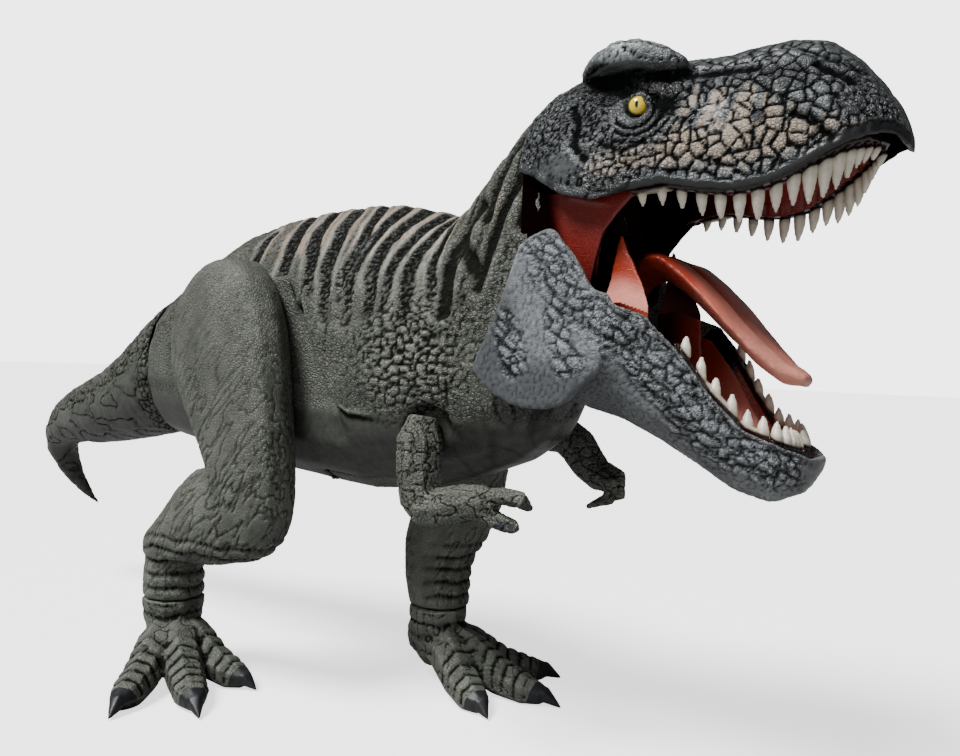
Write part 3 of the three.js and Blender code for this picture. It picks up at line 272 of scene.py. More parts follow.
def soften(piece, rounds, sharpest=16.0, blunt=38.0):
    """Smooth the facets away but keep the rims: points where the skin turns sharply hold still."""
    _, normals = read(piece)
    ends, others, share = neighbours(piece)
    mean = normals.copy()
    for _ in range(4):
        mean = gather(mean, ends, others) + mean
        mean /= np.maximum(np.linalg.norm(mean, axis=1, keepdims=True), 1e-9)
    turn = np.degrees(np.arccos(np.clip((mean * normals).sum(1), -1, 1)))
    weight = 1 - step(sharpest, blunt, turn)
    for _ in range(2):
        near = np.bincount(ends, weight[others], len(weight)) / share
        weight = np.minimum(weight, 0.5 * weight + 0.5 * near)
    group = piece.vertex_groups.new(name="soft")
    levels = np.round(weight * SOFT_LEVELS).astype(int)
    for level in range(1, SOFT_LEVELS + 1):
        chosen = np.nonzero(levels == level)[0].tolist()
        if chosen:
            group.add(chosen, level / SOFT_LEVELS, "REPLACE")
    modify(piece, "SMOOTH", factor=0.5, iterations=rounds, vertex_group="soft")
    piece.vertex_groups.clear()


def halve(piece, title, y, side):
    """The part of a piece that lies beyond y on one side, as a new closed piece."""
    half = piece.copy()
    half.data = piece.data.copy()
    half.name = half.data.name = title
    bpy.context.scene.collection.objects.link(half)
    bpy.ops.object.select_all(action="DESELECT")
    bpy.ops.mesh.primitive_cube_add(size=2 * BLOCK_REACH, location=(0, y + side * BLOCK_REACH, 0))
    block = bpy.context.object
    bpy.ops.object.transform_apply(location=True, rotation=True, scale=True)
    modify(half, "BOOLEAN", operation="INTERSECT", solver="MANIFOLD", object=block)
    bpy.data.objects.remove(block)
    return half


def finish(piece, material, body, *nodes):
    """Give a piece its paint and its place on the figure, in the room of its CAD nodes."""
    piece.data.materials.clear()
    piece.data.materials.append(material)
    select_only(piece)
    bpy.ops.object.shade_smooth()
    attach(piece, body)
    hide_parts(*nodes)


def scatter(cell, seed):
    """Even random numbers for whole-number cells."""
    n = cell[:, 0] * 374761393 + cell[:, 1] * 668265263 + cell[:, 2] * 1440662683 + seed * 974711
    n = (n ^ (n >> 13)) & 0x7FFFFFFF
    n = (n * 1274126177) & 0x7FFFFFFF
    return ((n ^ (n >> 16)) & 0xFFFF) / 65535.0


def cloud(points, size, seed=0):
    """Smooth noise from -1 to 1 with lumps of a given size."""
    spot = points / size
    base = np.floor(spot).astype(np.int64)
    part = spot - base
    part = part * part * (3 - 2 * part)
    total = np.zeros(len(points))
    for corner in product((0, 1), repeat=3):
        weight = np.ones(len(points))
        for k in range(3):
            weight = weight * (part[:, k] if corner[k] else 1 - part[:, k])
        total += weight * scatter(base + np.array(corner), seed)
    return 2 * total - 1


def cobbles(points, size, seed=0):
    """Rounded cobbles: 0 in the cracks between them and 1 on top."""
    spot = points / size
    base = np.floor(spot).astype(np.int64)
    near = np.full(len(points), 9.0)
    after = np.full(len(points), 9.0)
    for offset in product((-1, 0, 1), repeat=3):
        cell = base + np.array(offset)
        centre = cell + np.stack([scatter(cell, seed + k) for k in range(3)], 1)
        gap = np.linalg.norm(centre - spot, axis=1)
        after = np.minimum(after, np.maximum(near, gap))
        near = np.minimum(near, gap)
    top = np.clip((after - near) / 0.42, 0, 1)
    return 1 - (1 - top) ** 2


def wrinkles(points, size, seed=0):
    """Thin winding creases: 1 along a crease and 0 between them."""
    return 1 - step(0.0, 0.30, np.abs(cloud(points, size, seed) + 0.35 * cloud(points, size * 0.45, seed + 5)))


def near_path(flat, path):
    """Distance of flat points from a path, and how far along it the nearest place is, 0 to 1."""
    path = np.array(path, float)
    pieces = np.linalg.norm(np.diff(path, axis=0), axis=1)
    before = np.concatenate([[0], np.cumsum(pieces)]) / pieces.sum()
    best = np.full(len(flat), 1e9)
    along = np.zeros(len(flat))
    for k in range(len(path) - 1):
        run = path[k + 1] - path[k]
        t = np.clip(((flat - path[k]) @ run) / (run @ run), 0, 1)
        gap = np.linalg.norm(flat - path[k] - t[:, None] * run, axis=1)
        closer = gap < best
        best = np.where(closer, gap, best)
        along = np.where(closer, before[k] + t * (before[k + 1] - before[k]), along)
    return best, along


def outside(points, normals, spine):
    """1 on the outer side of a hollow form round a spine of (x, z), -1 on its inner side, 0 on its rims."""
    spine = np.array(spine, float)
    best = np.full(len(points), 1e9)
    root = np.zeros((len(points), 3))
    flat = points[:, [0, 2]]
    for k in range(len(spine) - 1):
        run = spine[k + 1] - spine[k]
        t = np.clip(((flat - spine[k]) @ run) / (run @ run), 0, 1)
        at = spine[k] + t[:, None] * run
        gap = np.linalg.norm(flat - at, axis=1)
        closer = gap < best
        best = np.where(closer, gap, best)
        root[closer, 0] = at[closer, 0]
        root[closer, 2] = at[closer, 1]
    away = points - root
    away /= np.maximum(np.linalg.norm(away, axis=1, keepdims=True), 1e-9)
    facing = (away * normals).sum(1)
    return step(0.05, 0.35, facing) - step(0.05, 0.35, -facing)


def press(points, normals, side, deep, fine):
    """Press folds into a thin wall, both its faces together, and fine grain into its outer face only."""
    return points - normals * (side * deep + np.maximum(side, 0) * fine)[:, None]


def node_of(tree, kind, **inputs):
    """A shader node with some of its inputs set."""
    node = tree.nodes.new(kind)
    for key, value in inputs.items():
        node.inputs[key.replace("_", " ")].default_value = value
    return node


def new_paint(name):
    """An empty material with a plastic shader."""
    material = bpy.data.materials.new(name)
    material.use_nodes = True
    tree = material.node_tree
    tree.nodes.clear()
    output = tree.nodes.new("ShaderNodeOutputMaterial")
    shader = tree.nodes.new("ShaderNodeBsdfPrincipled")
    tree.links.new(shader.outputs[0], output.inputs[0])
    place = tree.nodes.new("ShaderNodeTexCoord").outputs["Object"]
    return material, tree, shader, place


def math_node(tree, operation, first, second=0.0, clamp=False):
    """A Math node between two sockets or numbers."""
    node = tree.nodes.new("ShaderNodeMath")
    node.operation = operation
    node.use_clamp = clamp
    for slot, value in enumerate((first, second)):
        if isinstance(value, (int, float)):
            node.inputs[slot].default_value = value
        else:
            tree.links.new(value, node.inputs[slot])
    return node.outputs[0]


def blend_colour(tree, factor, first, second, mode="MIX"):
    """A colour Mix node; colours may be sockets or values."""
    node = tree.nodes.new("ShaderNodeMix")
    node.data_type = "RGBA"
    node.blend_type = mode
    for key, value in ((0, factor), (6, first), (7, second)):
        if isinstance(value, bpy.types.NodeSocket):
            tree.links.new(value, node.inputs[key])
        elif key == 0:
            node.inputs[key].default_value = value
        else:
            node.inputs[key].default_value = (*value[:3], 1)
    return node.outputs[2]


def ramp(tree, value, low, high, to_low=0.0, to_high=1.0):
    """A clamped Map Range node."""
    node = tree.nodes.new("ShaderNodeMapRange")
    node.clamp = True
    tree.links.new(value, node.inputs[0])
    for slot, number in enumerate((low, high, to_low, to_high), 1):
        node.inputs[slot].default_value = number
    return node.outputs[0]


def attribute(tree, name):
    """A number kept on the mesh."""
    node = tree.nodes.new("ShaderNodeAttribute")
    node.attribute_name = name
    return node.outputs["Fac"]


def noise(tree, place, scale, detail=3.0, rough=0.55):
    """A Noise Texture's value."""
    node = node_of(tree, "ShaderNodeTexNoise", Scale=scale, Detail=detail, Roughness=rough)
    tree.links.new(place, node.inputs["Vector"])
    return node.outputs[0]


def cells(tree, place, scale):
    """A Voronoi Texture's distance to the cell edges."""
    node = tree.nodes.new("ShaderNodeTexVoronoi")
    node.feature = "DISTANCE_TO_EDGE"
    node.inputs["Scale"].default_value = scale
    tree.links.new(place, node.inputs["Vector"])
    return node.outputs["Distance"]


def hide_paint(name, ground, layers=(), pebble=0.003, relief=1.0, shine=0.42, crack_shade=0.45, hollow_shade=0.72, gloss=0.34):
    """Moulded scaly plastic: pebbles, fine grain, coloured layers, painted shade in cracks, hollows and creases, and
    painted highlight on pebble tops and ridges.
    """
    material, tree, shader, place = new_paint(name)
    warped = tree.nodes.new("ShaderNodeVectorMath")
    warped.operation = "MULTIPLY_ADD"
    drift = node_of(tree, "ShaderNodeTexNoise", Scale=90.0, Detail=1.0)
    tree.links.new(place, drift.inputs["Vector"])
    tree.links.new(drift.outputs["Color"], warped.inputs[0])
    warped.inputs[1].default_value = (0.0022, 0.0022, 0.0022)
    tree.links.new(place, warped.inputs[2])
    spot = warped.outputs[0]
    edge = ramp(tree, cells(tree, spot, 1 / pebble), 0.0, 0.22)
    small = ramp(tree, cells(tree, spot, 2.1 / pebble), 0.0, 0.24)
    patch = ramp(tree, noise(tree, place, 24.0, 3.0), 0.38, 0.62)
    grain = noise(tree, place, 900.0, 2.0)
    mottle = noise(tree, place, 42.0, 6.0, 0.65)
    smooth = math_node(tree, "SUBTRACT", 1.0, math_node(tree, "MULTIPLY", attribute(tree, "plain"), 0.9))

    shade = blend_colour(
        tree, ramp(tree, mottle, 0.30, 0.70), [c * 0.66 for c in ground], [c * 1.34 for c in ground])
    for layer, tint, low, high in layers:
        edge_noise = math_node(tree, "MULTIPLY_ADD", noise(tree, place, 160.0, 3.0), 0.6)
        edge_noise.node.inputs[2].default_value = -0.3
        factor = ramp(tree, math_node(tree, "ADD", attribute(tree, layer), edge_noise), low, high)
        shade = blend_colour(tree, factor, shade, tint)
    # Painted highlight: the tops of the pebbles are made lighter, as if lit from above
    top_highlight = math_node(tree, "MULTIPLY", math_node(tree, "MULTIPLY", edge, small), patch)
    top_highlight_colour = blend_colour(tree, 1.0, shade, (1.28, 1.28, 1.26), "MULTIPLY")
    shade = blend_colour(tree, math_node(tree, "MULTIPLY", top_highlight, smooth), shade, top_highlight_colour)
    # Painted shade: the cracks between the pebbles are darkened
    dark = blend_colour(tree, 1.0, shade, (crack_shade, crack_shade, crack_shade), "MULTIPLY")
    cracks = math_node(tree, "MULTIPLY", ramp(tree, edge, 0.0, 0.8), ramp(tree, small, 0.0, 0.5))
    cracks = math_node(tree, "MULTIPLY", math_node(tree, "SUBTRACT", 1.0, cracks), smooth)
    shade = blend_colour(tree, cracks, shade, dark)
    # Painted highlight along raised ridges
    light = blend_colour(tree, 1.0, shade, (1.9, 1.9, 1.9), "MULTIPLY")
    shade = blend_colour(tree, math_node(tree, "MULTIPLY", attribute(tree, "ridge"), 0.55), shade, light)
    # Painted shade: hollows and creases turn near black
    painted_shade = math_node(tree, "ADD", math_node(tree, "MULTIPLY", attribute(tree, "hollow"), hollow_shade),
                     math_node(tree, "MULTIPLY", attribute(tree, "crease"), 0.85), clamp=True)
    shade = blend_colour(tree, painted_shade, shade, [c * 0.10 for c in ground])
    tree.links.new(shade, shader.inputs["Base Color"])

    height = math_node(
        tree, "ADD", math_node(tree, "MULTIPLY", edge, 0.62), math_node(tree, "MULTIPLY", small, 0.26))
    height = math_node(
        tree, "MULTIPLY", height, math_node(tree, "ADD", math_node(tree, "MULTIPLY", patch, 0.55), 0.45))
    height = math_node(tree, "MULTIPLY", height, smooth)
    height = math_node(tree, "ADD", height, math_node(tree, "MULTIPLY", grain, 0.10))
    bump = node_of(tree, "ShaderNodeBump", Strength=1.0, Distance=0.00095 * relief)
    tree.links.new(height, bump.inputs["Height"])
    tree.links.new(bump.outputs[0], shader.inputs["Normal"])
    tree.links.new(ramp(tree, mottle, 0.2, 0.8, shine + 0.10, shine - 0.06), shader.inputs["Roughness"])
    dull = math_node(tree, "MAXIMUM", attribute(tree, "inner"), painted_shade)
    tree.links.new(ramp(tree, dull, 0.0, 0.75, gloss, 0.0), shader.inputs["Specular IOR Level"])
    return material


def soft_paint(name, ground, deep, ember, shine=0.34):
    """Satin soft plastic of the mouth: one colour that turns to ember, and then to a near-black painted shade where
    the mesh marks the mouth's shaded depths and its grooves.
    """
    material, tree, shader, place = new_paint(name)
    cloudy = ramp(tree, noise(tree, place, 30.0, 3.0), 0.3, 0.7)
    shade = blend_colour(tree, attribute(tree, "ember"), ground, ember)
    shade = blend_colour(tree, cloudy, blend_colour(tree, 1.0, shade, (0.78, 0.74, 0.72), "MULTIPLY"), shade)
    # Painted shade: near black where the mesh marks the shaded depths of the mouth, and in its grooves
    shade = blend_colour(tree, attribute(tree, "deep"), shade, deep)
    shade = blend_colour(tree, math_node(tree, "MULTIPLY", attribute(tree, "crease"), 0.7), shade, deep)
    tree.links.new(shade, shader.inputs["Base Color"])
    height = math_node(tree, "ADD", noise(tree, place, 260.0, 3.0), noise(tree, place, 1200.0, 1.0))
    bump = node_of(tree, "ShaderNodeBump", Strength=0.5, Distance=0.0006)
    tree.links.new(height, bump.inputs["Height"])
    tree.links.new(bump.outputs[0], shader.inputs["Normal"])
    tree.links.new(ramp(tree, attribute(tree, "deep"), 0.1, 0.9, 0.5, 0.0), shader.inputs["Specular IOR Level"])
    shader.inputs["Roughness"].default_value = shine
    shader.inputs["Subsurface Weight"].default_value = 0.05
    shader.inputs["Subsurface Radius"].default_value = (0.004, 0.0015, 0.001)
    return material


def tooth_paint(paint):
    """Ivory teeth, a little browner at the root, on a dark gum strip."""
    material, tree, shader, place = new_paint("tooth_ivory")
    ivory = tuple(paint.tooth)
    stain = ramp(tree, noise(tree, place, 220.0, 3.0), 0.3, 0.75)
    shade = blend_colour(tree, stain, [c * 0.80 for c in ivory], ivory)
    shade = blend_colour(tree, math_node(tree, "MULTIPLY", attribute(tree, "root"), 0.65), shade, linear("8f8270"))
    shade = blend_colour(tree, attribute(tree, "gum"), shade, linear("1c0b0a"))
    tree.links.new(shade, shader.inputs["Base Color"])
    bump = node_of(tree, "ShaderNodeBump", Strength=0.35, Distance=0.0003)
    tree.links.new(noise(tree, place, 700.0, 2.0), bump.inputs["Height"])
    tree.links.new(bump.outputs[0], shader.inputs["Normal"])
    shader.inputs["Roughness"].default_value = 0.33
    shader.inputs["Subsurface Weight"].default_value = 0.08
    shader.inputs["Subsurface Radius"].default_value = (0.003, 0.002, 0.0012)
    return material


def plain_paint(name, ground, rough, metal=0.0, grain=600.0):
    """Plain moulded nylon or drawn wire, with a fine grain."""
    material, tree, shader, place = new_paint(name)
    value = noise(tree, place, grain, 3.0)
    tree.links.new(blend_colour(tree, ramp(tree, value, 0.3, 0.7), [c * 0.8 for c in ground], ground),
                   shader.inputs["Base Color"])
    bump = node_of(tree, "ShaderNodeBump", Strength=0.25, Distance=0.0002)
    tree.links.new(value, bump.inputs["Height"])
    tree.links.new(bump.outputs[0], shader.inputs["Normal"])
    shader.inputs["Roughness"].default_value = rough
    shader.inputs["Metallic"].default_value = metal
    return material


# Outlines and paths below are (x, z) in millimetres in the sculpting frame
TRUNK_SPINE = [(-185, 267), (-120, 276), (0, 284), (80, 282), (140, 286), (190, 310), (222, 350), (240, 392),
               (262, 430)]
# Each band's path and half width, and each neck fold's path, half width and depth
BAND_PATHS = [
    ([(-58, 372), (-48, 345), (-38, 322), (-30, 305)], 5.5),
    ([(-24, 384), (-13, 362), (1, 335), (17, 315)], 6.5),
    ([(2, 386), (13, 361), (28, 345), (39, 322)], 6.0),
    ([(28, 388), (41, 359), (54, 330), (60, 302)], 6.5),
    ([(54, 391), (65, 368), (69, 343), (72, 316)], 4.5),
    ([(79, 390), (76, 354), (79, 328), (84, 300)], 6.5),
    ([(100, 387), (94, 353), (102, 327), (105, 298)], 6.5),
    ([(120, 380), (115, 352), (116, 328), (116, 304)], 5.5),
    ([(135, 376), (130, 348), (135, 322), (137, 292)], 6.5),
    ([(149, 369), (151, 342), (156, 324), (158, 310)], 4.5),
]
NECK_FOLDS = [
    ([(184, 378), (176, 358), (169, 345), (167, 327), (169, 306)], 5.0, 6.5),
    ([(174, 352), (184, 342), (193, 333)], 5.5, 4.2),
    ([(219, 428), (206, 412), (199, 394), (195, 370)], 5.2, 6.0),
    ([(225, 396), (210, 370), (203, 346), (196, 322)], 4.0, 4.0),
    ([(234, 428), (232, 395), (228, 362)], 4.2, 3.6),
]
FLANK_EDGE = [(40, 282), (48, 260), (67, 241), (87, 231), (124, 229)]


def sculpt_trunk(piece):
    """Back ridge, folds, rib grooves, pebbles and the bands' places."""
    points, normals = read(piece)
    side = outside(points, normals, TRUNK_SPINE)
    x, y, z = points.T
    flat = points[:, [0, 2]]
    side = side * (1 - step(0.95, 0.995, np.abs(normals[:, 1])) * (np.abs(y) < 54) * ((x < 160) | (z < 290)))
    side = side * step(0.4, 3.0, x + 185)
    deep = np.zeros(len(points))
    crease = np.zeros(len(points))
    band = np.zeros(len(points))
    speckle = np.zeros(len(points))
    rib = np.zeros(len(points))
    fold_crest_highlight = np.zeros(len(points))
    leaning = flat - np.stack([20 * step(325, 392, z) * (1 - step(140, 165, x)), 0 * z], 1)
    for path, width in BAND_PATHS:
        gap, along = near_path(leaning, path)
        wide = width * (1.3 - 0.45 * along) * (1 + 0.30 * cloud(points, 12, 3))
        this = (1 - step(0.6, 1.1, gap / wide)) * (1 - step(0.84, 1.0, along))
        band = np.maximum(band, this)
        speckle = np.maximum(speckle, this * step(0.35, 0.8, along))
        deep += 2.9 * np.exp(-(gap / (width * 0.85)) ** 2)
        beside = np.exp(-((gap - width * 1.5) / (width * 0.42)) ** 2)
        rib = np.maximum(rib, beside * (1 - step(0.62, 0.96, along)))
    for path, width, depth in NECK_FOLDS:
        gap, along = near_path(flat, path)
        fold = np.exp(-(gap / width) ** 2)
        deep += depth * (fold - 0.22 * np.exp(-((gap - 2.2 * width) / width) ** 2))
        # The fold's groove takes painted shade and the crests beside it a painted highlight
        crease = np.maximum(crease, 1.5 * np.exp(-(gap / width) ** 2))
        fold_crest_highlight = np.maximum(fold_crest_highlight, np.exp(-((gap - 2.0 * width) / (0.7 * width)) ** 2))
    deep = 3.6 * np.tanh(deep / 3.6)
    gap, along = near_path(flat, FLANK_EDGE)
    edge = height_on(FLANK_EDGE, x)
    below = step(-2.5, 2.5, edge - z)
    fade = step(0.05, 0.5, along) * (1 - step(0.7, 1.0, along))
    deep += fade * (2.4 * np.exp(-(gap / 5.0) ** 2) * below - 0.9 * np.exp(-((gap - 2.0) / 2.5) ** 2) * (1 - below))
    # Painted shade in the flank fold and painted highlight on the ridge above it
    crease = np.maximum(crease, 0.7 * fade * np.exp(-((gap - 2.0) / 2.6) ** 2) * below)
    flank_ridge_highlight = fade * np.exp(-((gap - 2.0) / 2.0) ** 2) * (1 - below)
    crest = np.exp(-(y / 8.0) ** 2) * step(0.1, 0.5, np.abs(normals[:, 2]))
    crest = crest * step(305, 325, z) * (1 - step(160, 176, x))
    beads = 0.5 + 0.5 * np.cos(2 * math.pi * (x + 3 * cloud(points, 30, 2)) / 11.5)
    high = step(262, 300, z) * (1 - step(365, 392, z) * (x < 160))
    belly = 1 - step(226, 240, z)
    fore = np.exp(-(((x - 146) / 44) ** 2 + ((z - 276) / 40) ** 2))
    pebble = cobbles(points * np.array([1.0, 1.0, 1.25]), 5.0, 11)
    large = cobbles(points * np.array([0.85, 0.85, 1.35]), 7.6, 17)
    rough = (0.35 + 0.9 * band + 0.2 * high) * (1 - 0.8 * rib) * (1 - belly)
    lines = wrinkles(points * np.array([1.0, 0.7, 0.30]), 12, 7)
    neck = step(150, 178, x)
    fine = (0.95 * rough * (1 - pebble) + 2.7 * fore * (1 - large)
            + 0.9 * lines * (0.15 + 0.45 * high + 0.6 * neck) * (1 - belly))
    write(piece, press(points, normals, side, deep + 3.0 * crest * (1 - beads), fine))
    skin = np.maximum(side, 0)
    crease = np.maximum.reduce([crease, 0.45 * lines * np.maximum(0.7 * high, neck), 0.55 * (1 - pebble) * rough,
                                0.75 * (1 - large) * fore, 0.5 * crest * (1 - beads)])
    tan = step(330, 366, z + 9 * cloud(points, 20, 31)) * (x > -45) * (x < 172)
    neck_tan = 0.5 * neck * step(340, 380, z) * step(0.0, 0.5, cloud(points * np.array([1, 1, 0.35]), 12, 37))
    mark(piece, "band", band * (1 - 0.65 * speckle * pebble) * skin)
    # Painted shade in the folds, creases and the cracks between pebbles
    mark(piece, "crease", crease * skin)
    mark(piece, "tan", np.maximum(tan * (1 - band) * (0.35 + 0.6 * rib), neck_tan) * skin)
    # Pale: lighter ribs beside the bands, and painted highlight on the chest cobbles' tops, the flank ridge and the
    # neck folds' crests
    mark(piece, "pale", np.maximum.reduce([
        0.5 * rib * (z > 262) * (x < 165), 0.95 * fore * large, 0.8 * flank_ridge_highlight, 0.45 * fold_crest_highlight * (1 - crease)]) * skin)
    mark(piece, "plain", np.maximum(belly, rib * 0.75 * (z > 262)))
    # Painted shade: the belly and the low chest are darker, as an underside in shade
    mark(piece, "dark", np.maximum(belly, 0.6 * (1 - step(236, 262, z)) * step(150, 190, x)))
    # Painted shade: the inner faces of the hollow shell and of the neck by the mouth turn near black
    inward = step(0.35, 0.7, -normals[:, 1] * np.sign(y)) * (np.abs(y) > 28) * (x > 165)
    mark(piece, "inner", np.maximum(step(0.0, 0.5, -outside(points, normals, TRUNK_SPINE)) * (x > -180), inward))
    mark_form(piece, skin)


class FIGURE_OT_trunk(bpy.types.Operator):
    """Mould the hollow trunk and neck as two halves with folds, bands and pebbles"""

    bl_idname = "figure.trunk"
    bl_label = "Trunk halves"

    def execute(self, context):
        paint, sculpt = context.scene.figure_paint, context.scene.figure_sculpt
        whole = copy_nodes(["torso_right_shell", "torso_left_shell"], "trunk")
        remould(whole, sculpt.body_cell)
        soften(whole, 34)
        sculpt_trunk(whole)
        # The dark layer is painted shade on the underside, the inner layer paints the shell's inside near black as
        # shade, and the pale layer is partly painted highlight
        material = hide_paint("hide_bands", tuple(paint.hide), (
            ("dark", linear("2c2e2a"), 0.2, 1.1), ("pale", linear("787b72"), 0.2, 1.0),
            ("tan", tuple(paint.tan), 0.25, 0.85), ("band", tuple(paint.band), 0.30, 0.75),
            ("inner", linear("0b0b0b"), 0.3, 0.9)), pebble=sculpt.pebble, relief=1.2)
        for side, word in ((-1, "right"), (1, "left")):
            half = halve(whole, f"trunk_{word}_skin", ORIGIN.y + side * SEAM_GAP * MM, side)
            finish(half, material, "torso", f"torso_{word}_shell")
        bpy.data.objects.remove(whole)
        return {"FINISHED"}


TAIL_SPINE = [(-185, 267), (-230, 247), (-289, 225), (-346, 208), (-402, 195), (-442, 178), (-461, 154),
              (-458, 125), (-450, 100), (-442, 85)]


def sculpt_tail(piece):
    """Creases round the tail, a beaded rim at its seat and pebbles on top."""
    points, normals = read(piece)
    x, y, z = points.T
    front = np.interp(z, [262, 313], [-186.0, -209.0])
    pull = (-187.0 - front) * step(-34, 0, x - front) * step(258, 270, z) * (x < -180)
    points = points + np.stack([np.clip(pull, 0, np.maximum(-186.6 - x, 0)), 0 * pull, 0.5 * pull], 1)
    x, y, z = points.T
    flat = points[:, [0, 2]]
    side = outside(points, normals, TAIL_SPINE)
    side = np.where(x < -420, 1.0, side) * step(0.4, 3.0, -186 - x)
    _, along = near_path(flat, TAIL_SPINE)
    lines = wrinkles(points * np.array([0.45, 0.8, 1.0]), 11, 41)
    rings = np.exp(-((((along * 380) % 15) - 7.5) / 1.6) ** 2) * 0.5
    middle = height_on(TAIL_SPINE[6::-1], x)
    top = step(-10, 16, z - middle + 5 * cloud(points, 18, 45))
    pebble = cobbles(points, 4.6, 43)
    rim = step(-214, -194, x)
    bead = cobbles(points, 6.4, 47)
    fine = 0.8 * lines + 0.9 * (1 - pebble) * (0.2 + 0.8 * top) + 1.6 * rim * (1 - bead) + 0.5 * rings * (1 - rim)
    write(piece, press(points, normals, side, 0.0, fine))
    # Painted shade in the creases, the cracks between pebbles and between the rim's beads
    mark(piece, "crease", 0.3 * lines + 0.45 * (1 - pebble) * top + 0.5 * rim * (1 - bead))
    mark(piece, "plain", 0.9 * (1 - top))
    # Painted shade: the underside of the tail is darker
    mark(piece, "dark", 1 - step(-30, 26, z - middle))
    mark_form(piece, np.maximum(side, 0))


class FIGURE_OT_tail(bpy.types.Operator):
    """Mould the curled tail with its beaded rim"""

    bl_idname = "figure.tail"
    bl_label = "Tail"

    def execute(self, context):
        paint, sculpt = context.scene.figure_paint, context.scene.figure_sculpt
        piece = copy_nodes(["tail"], "tail_skin")
        remould(piece, sculpt.body_cell)
        soften(piece, 40)
        sculpt_tail(piece)
        # The dark layer is the painted shade of the tail's underside
        material = hide_paint("hide_tail", tuple(paint.hide), (
            ("dark", linear("2c2e2a"), 0.1, 1.1),), pebble=sculpt.pebble, relief=1.2)
        finish(piece, material, "torso", "tail")
        return {"FINISHED"}


class FIGURE_OT_hatch(bpy.types.Operator):
    """Mould the belly hatch"""

    bl_idname = "figure.hatch"
    bl_label = "Belly hatch"

    def execute(self, context):
        paint, sculpt = context.scene.figure_paint, context.scene.figure_sculpt
        piece = copy_nodes(["belly_hatch"], "hatch_skin")
        remould(piece, sculpt.small_cell)
        soften(piece, 12)
        points, normals = read(piece)
        pebble = cobbles(points, 4.6, 11)
        write(piece, points - normals * (0.25 * (1 - pebble) * step(0.2, 0.6, -normals[:, 2]))[:, None])
        material = hide_paint("hide_hatch", tuple(paint.hide), pebble=sculpt.pebble)
        finish(piece, material, "hatch", "belly_hatch")
        return {"FINISHED"}


HEAD_SPINE = [(205, 402), (240, 405), (290, 405), (340, 408), (400, 408), (428, 400)]
UPPER_LIP = [(226, 393), (240, 387), (262, 374), (284, 369), (303, 373), (324, 376), (344, 372), (362, 370),
             (381, 373), (400, 383), (416, 392), (428, 397), (437, 398), (443, 393)]
BROW_HOLLOW = [(274, 446), (290, 441), (308, 432), (322, 425)]
SNOUT_LINE = [(310, 447), (320, 442), (332, 443), (347, 443), (368, 441)]
NOSTRIL = [(400, 439.5), (409, 434), (418, 428)]
NOSTRIL_FOLD = [(390, 451), (401, 445), (412, 440), (421, 434)]
CHEEK_CREASE = [(392, 411), (403, 404), (411, 396)]
TAN_AREA = [(334, 431), (372, 432), (394, 412), (424, 402), (398, 391), (367, 382), (340, 386), (312, 386),
            (278, 382), (280, 396), (317, 400), (330, 414)]
STREAKS = [([(345, 431), (338, 410)], 3.0), ([(362, 432), (355, 412)], 2.6), ([(374, 430), (372, 410)], 2.4)]


def inside_area(flat, area):
    """1 inside a closed outline and 0 outside."""
    x, z = flat.T
    result = np.zeros(len(flat), bool)
    last = area[-1]
    for this in area:
        crosses = (this[1] > z) != (last[1] > z)
        at = (last[0] - this[0]) * (z - this[1]) / ((last[1] - this[1]) or 1e-9) + this[0]
        result ^= crosses & (x < at)
        last = this
    return result.astype(float)


def area_level(flat, area, width):
    """How deep inside an outline a point lies, from 0 at the edge to 1."""
    gap, _ = near_path(flat, list(area) + [area[0]])
    inside = inside_area(flat, area)
    return np.clip(inside * (0.5 + gap / width) + (1 - inside) * (0.5 - gap / width), 0, 1)


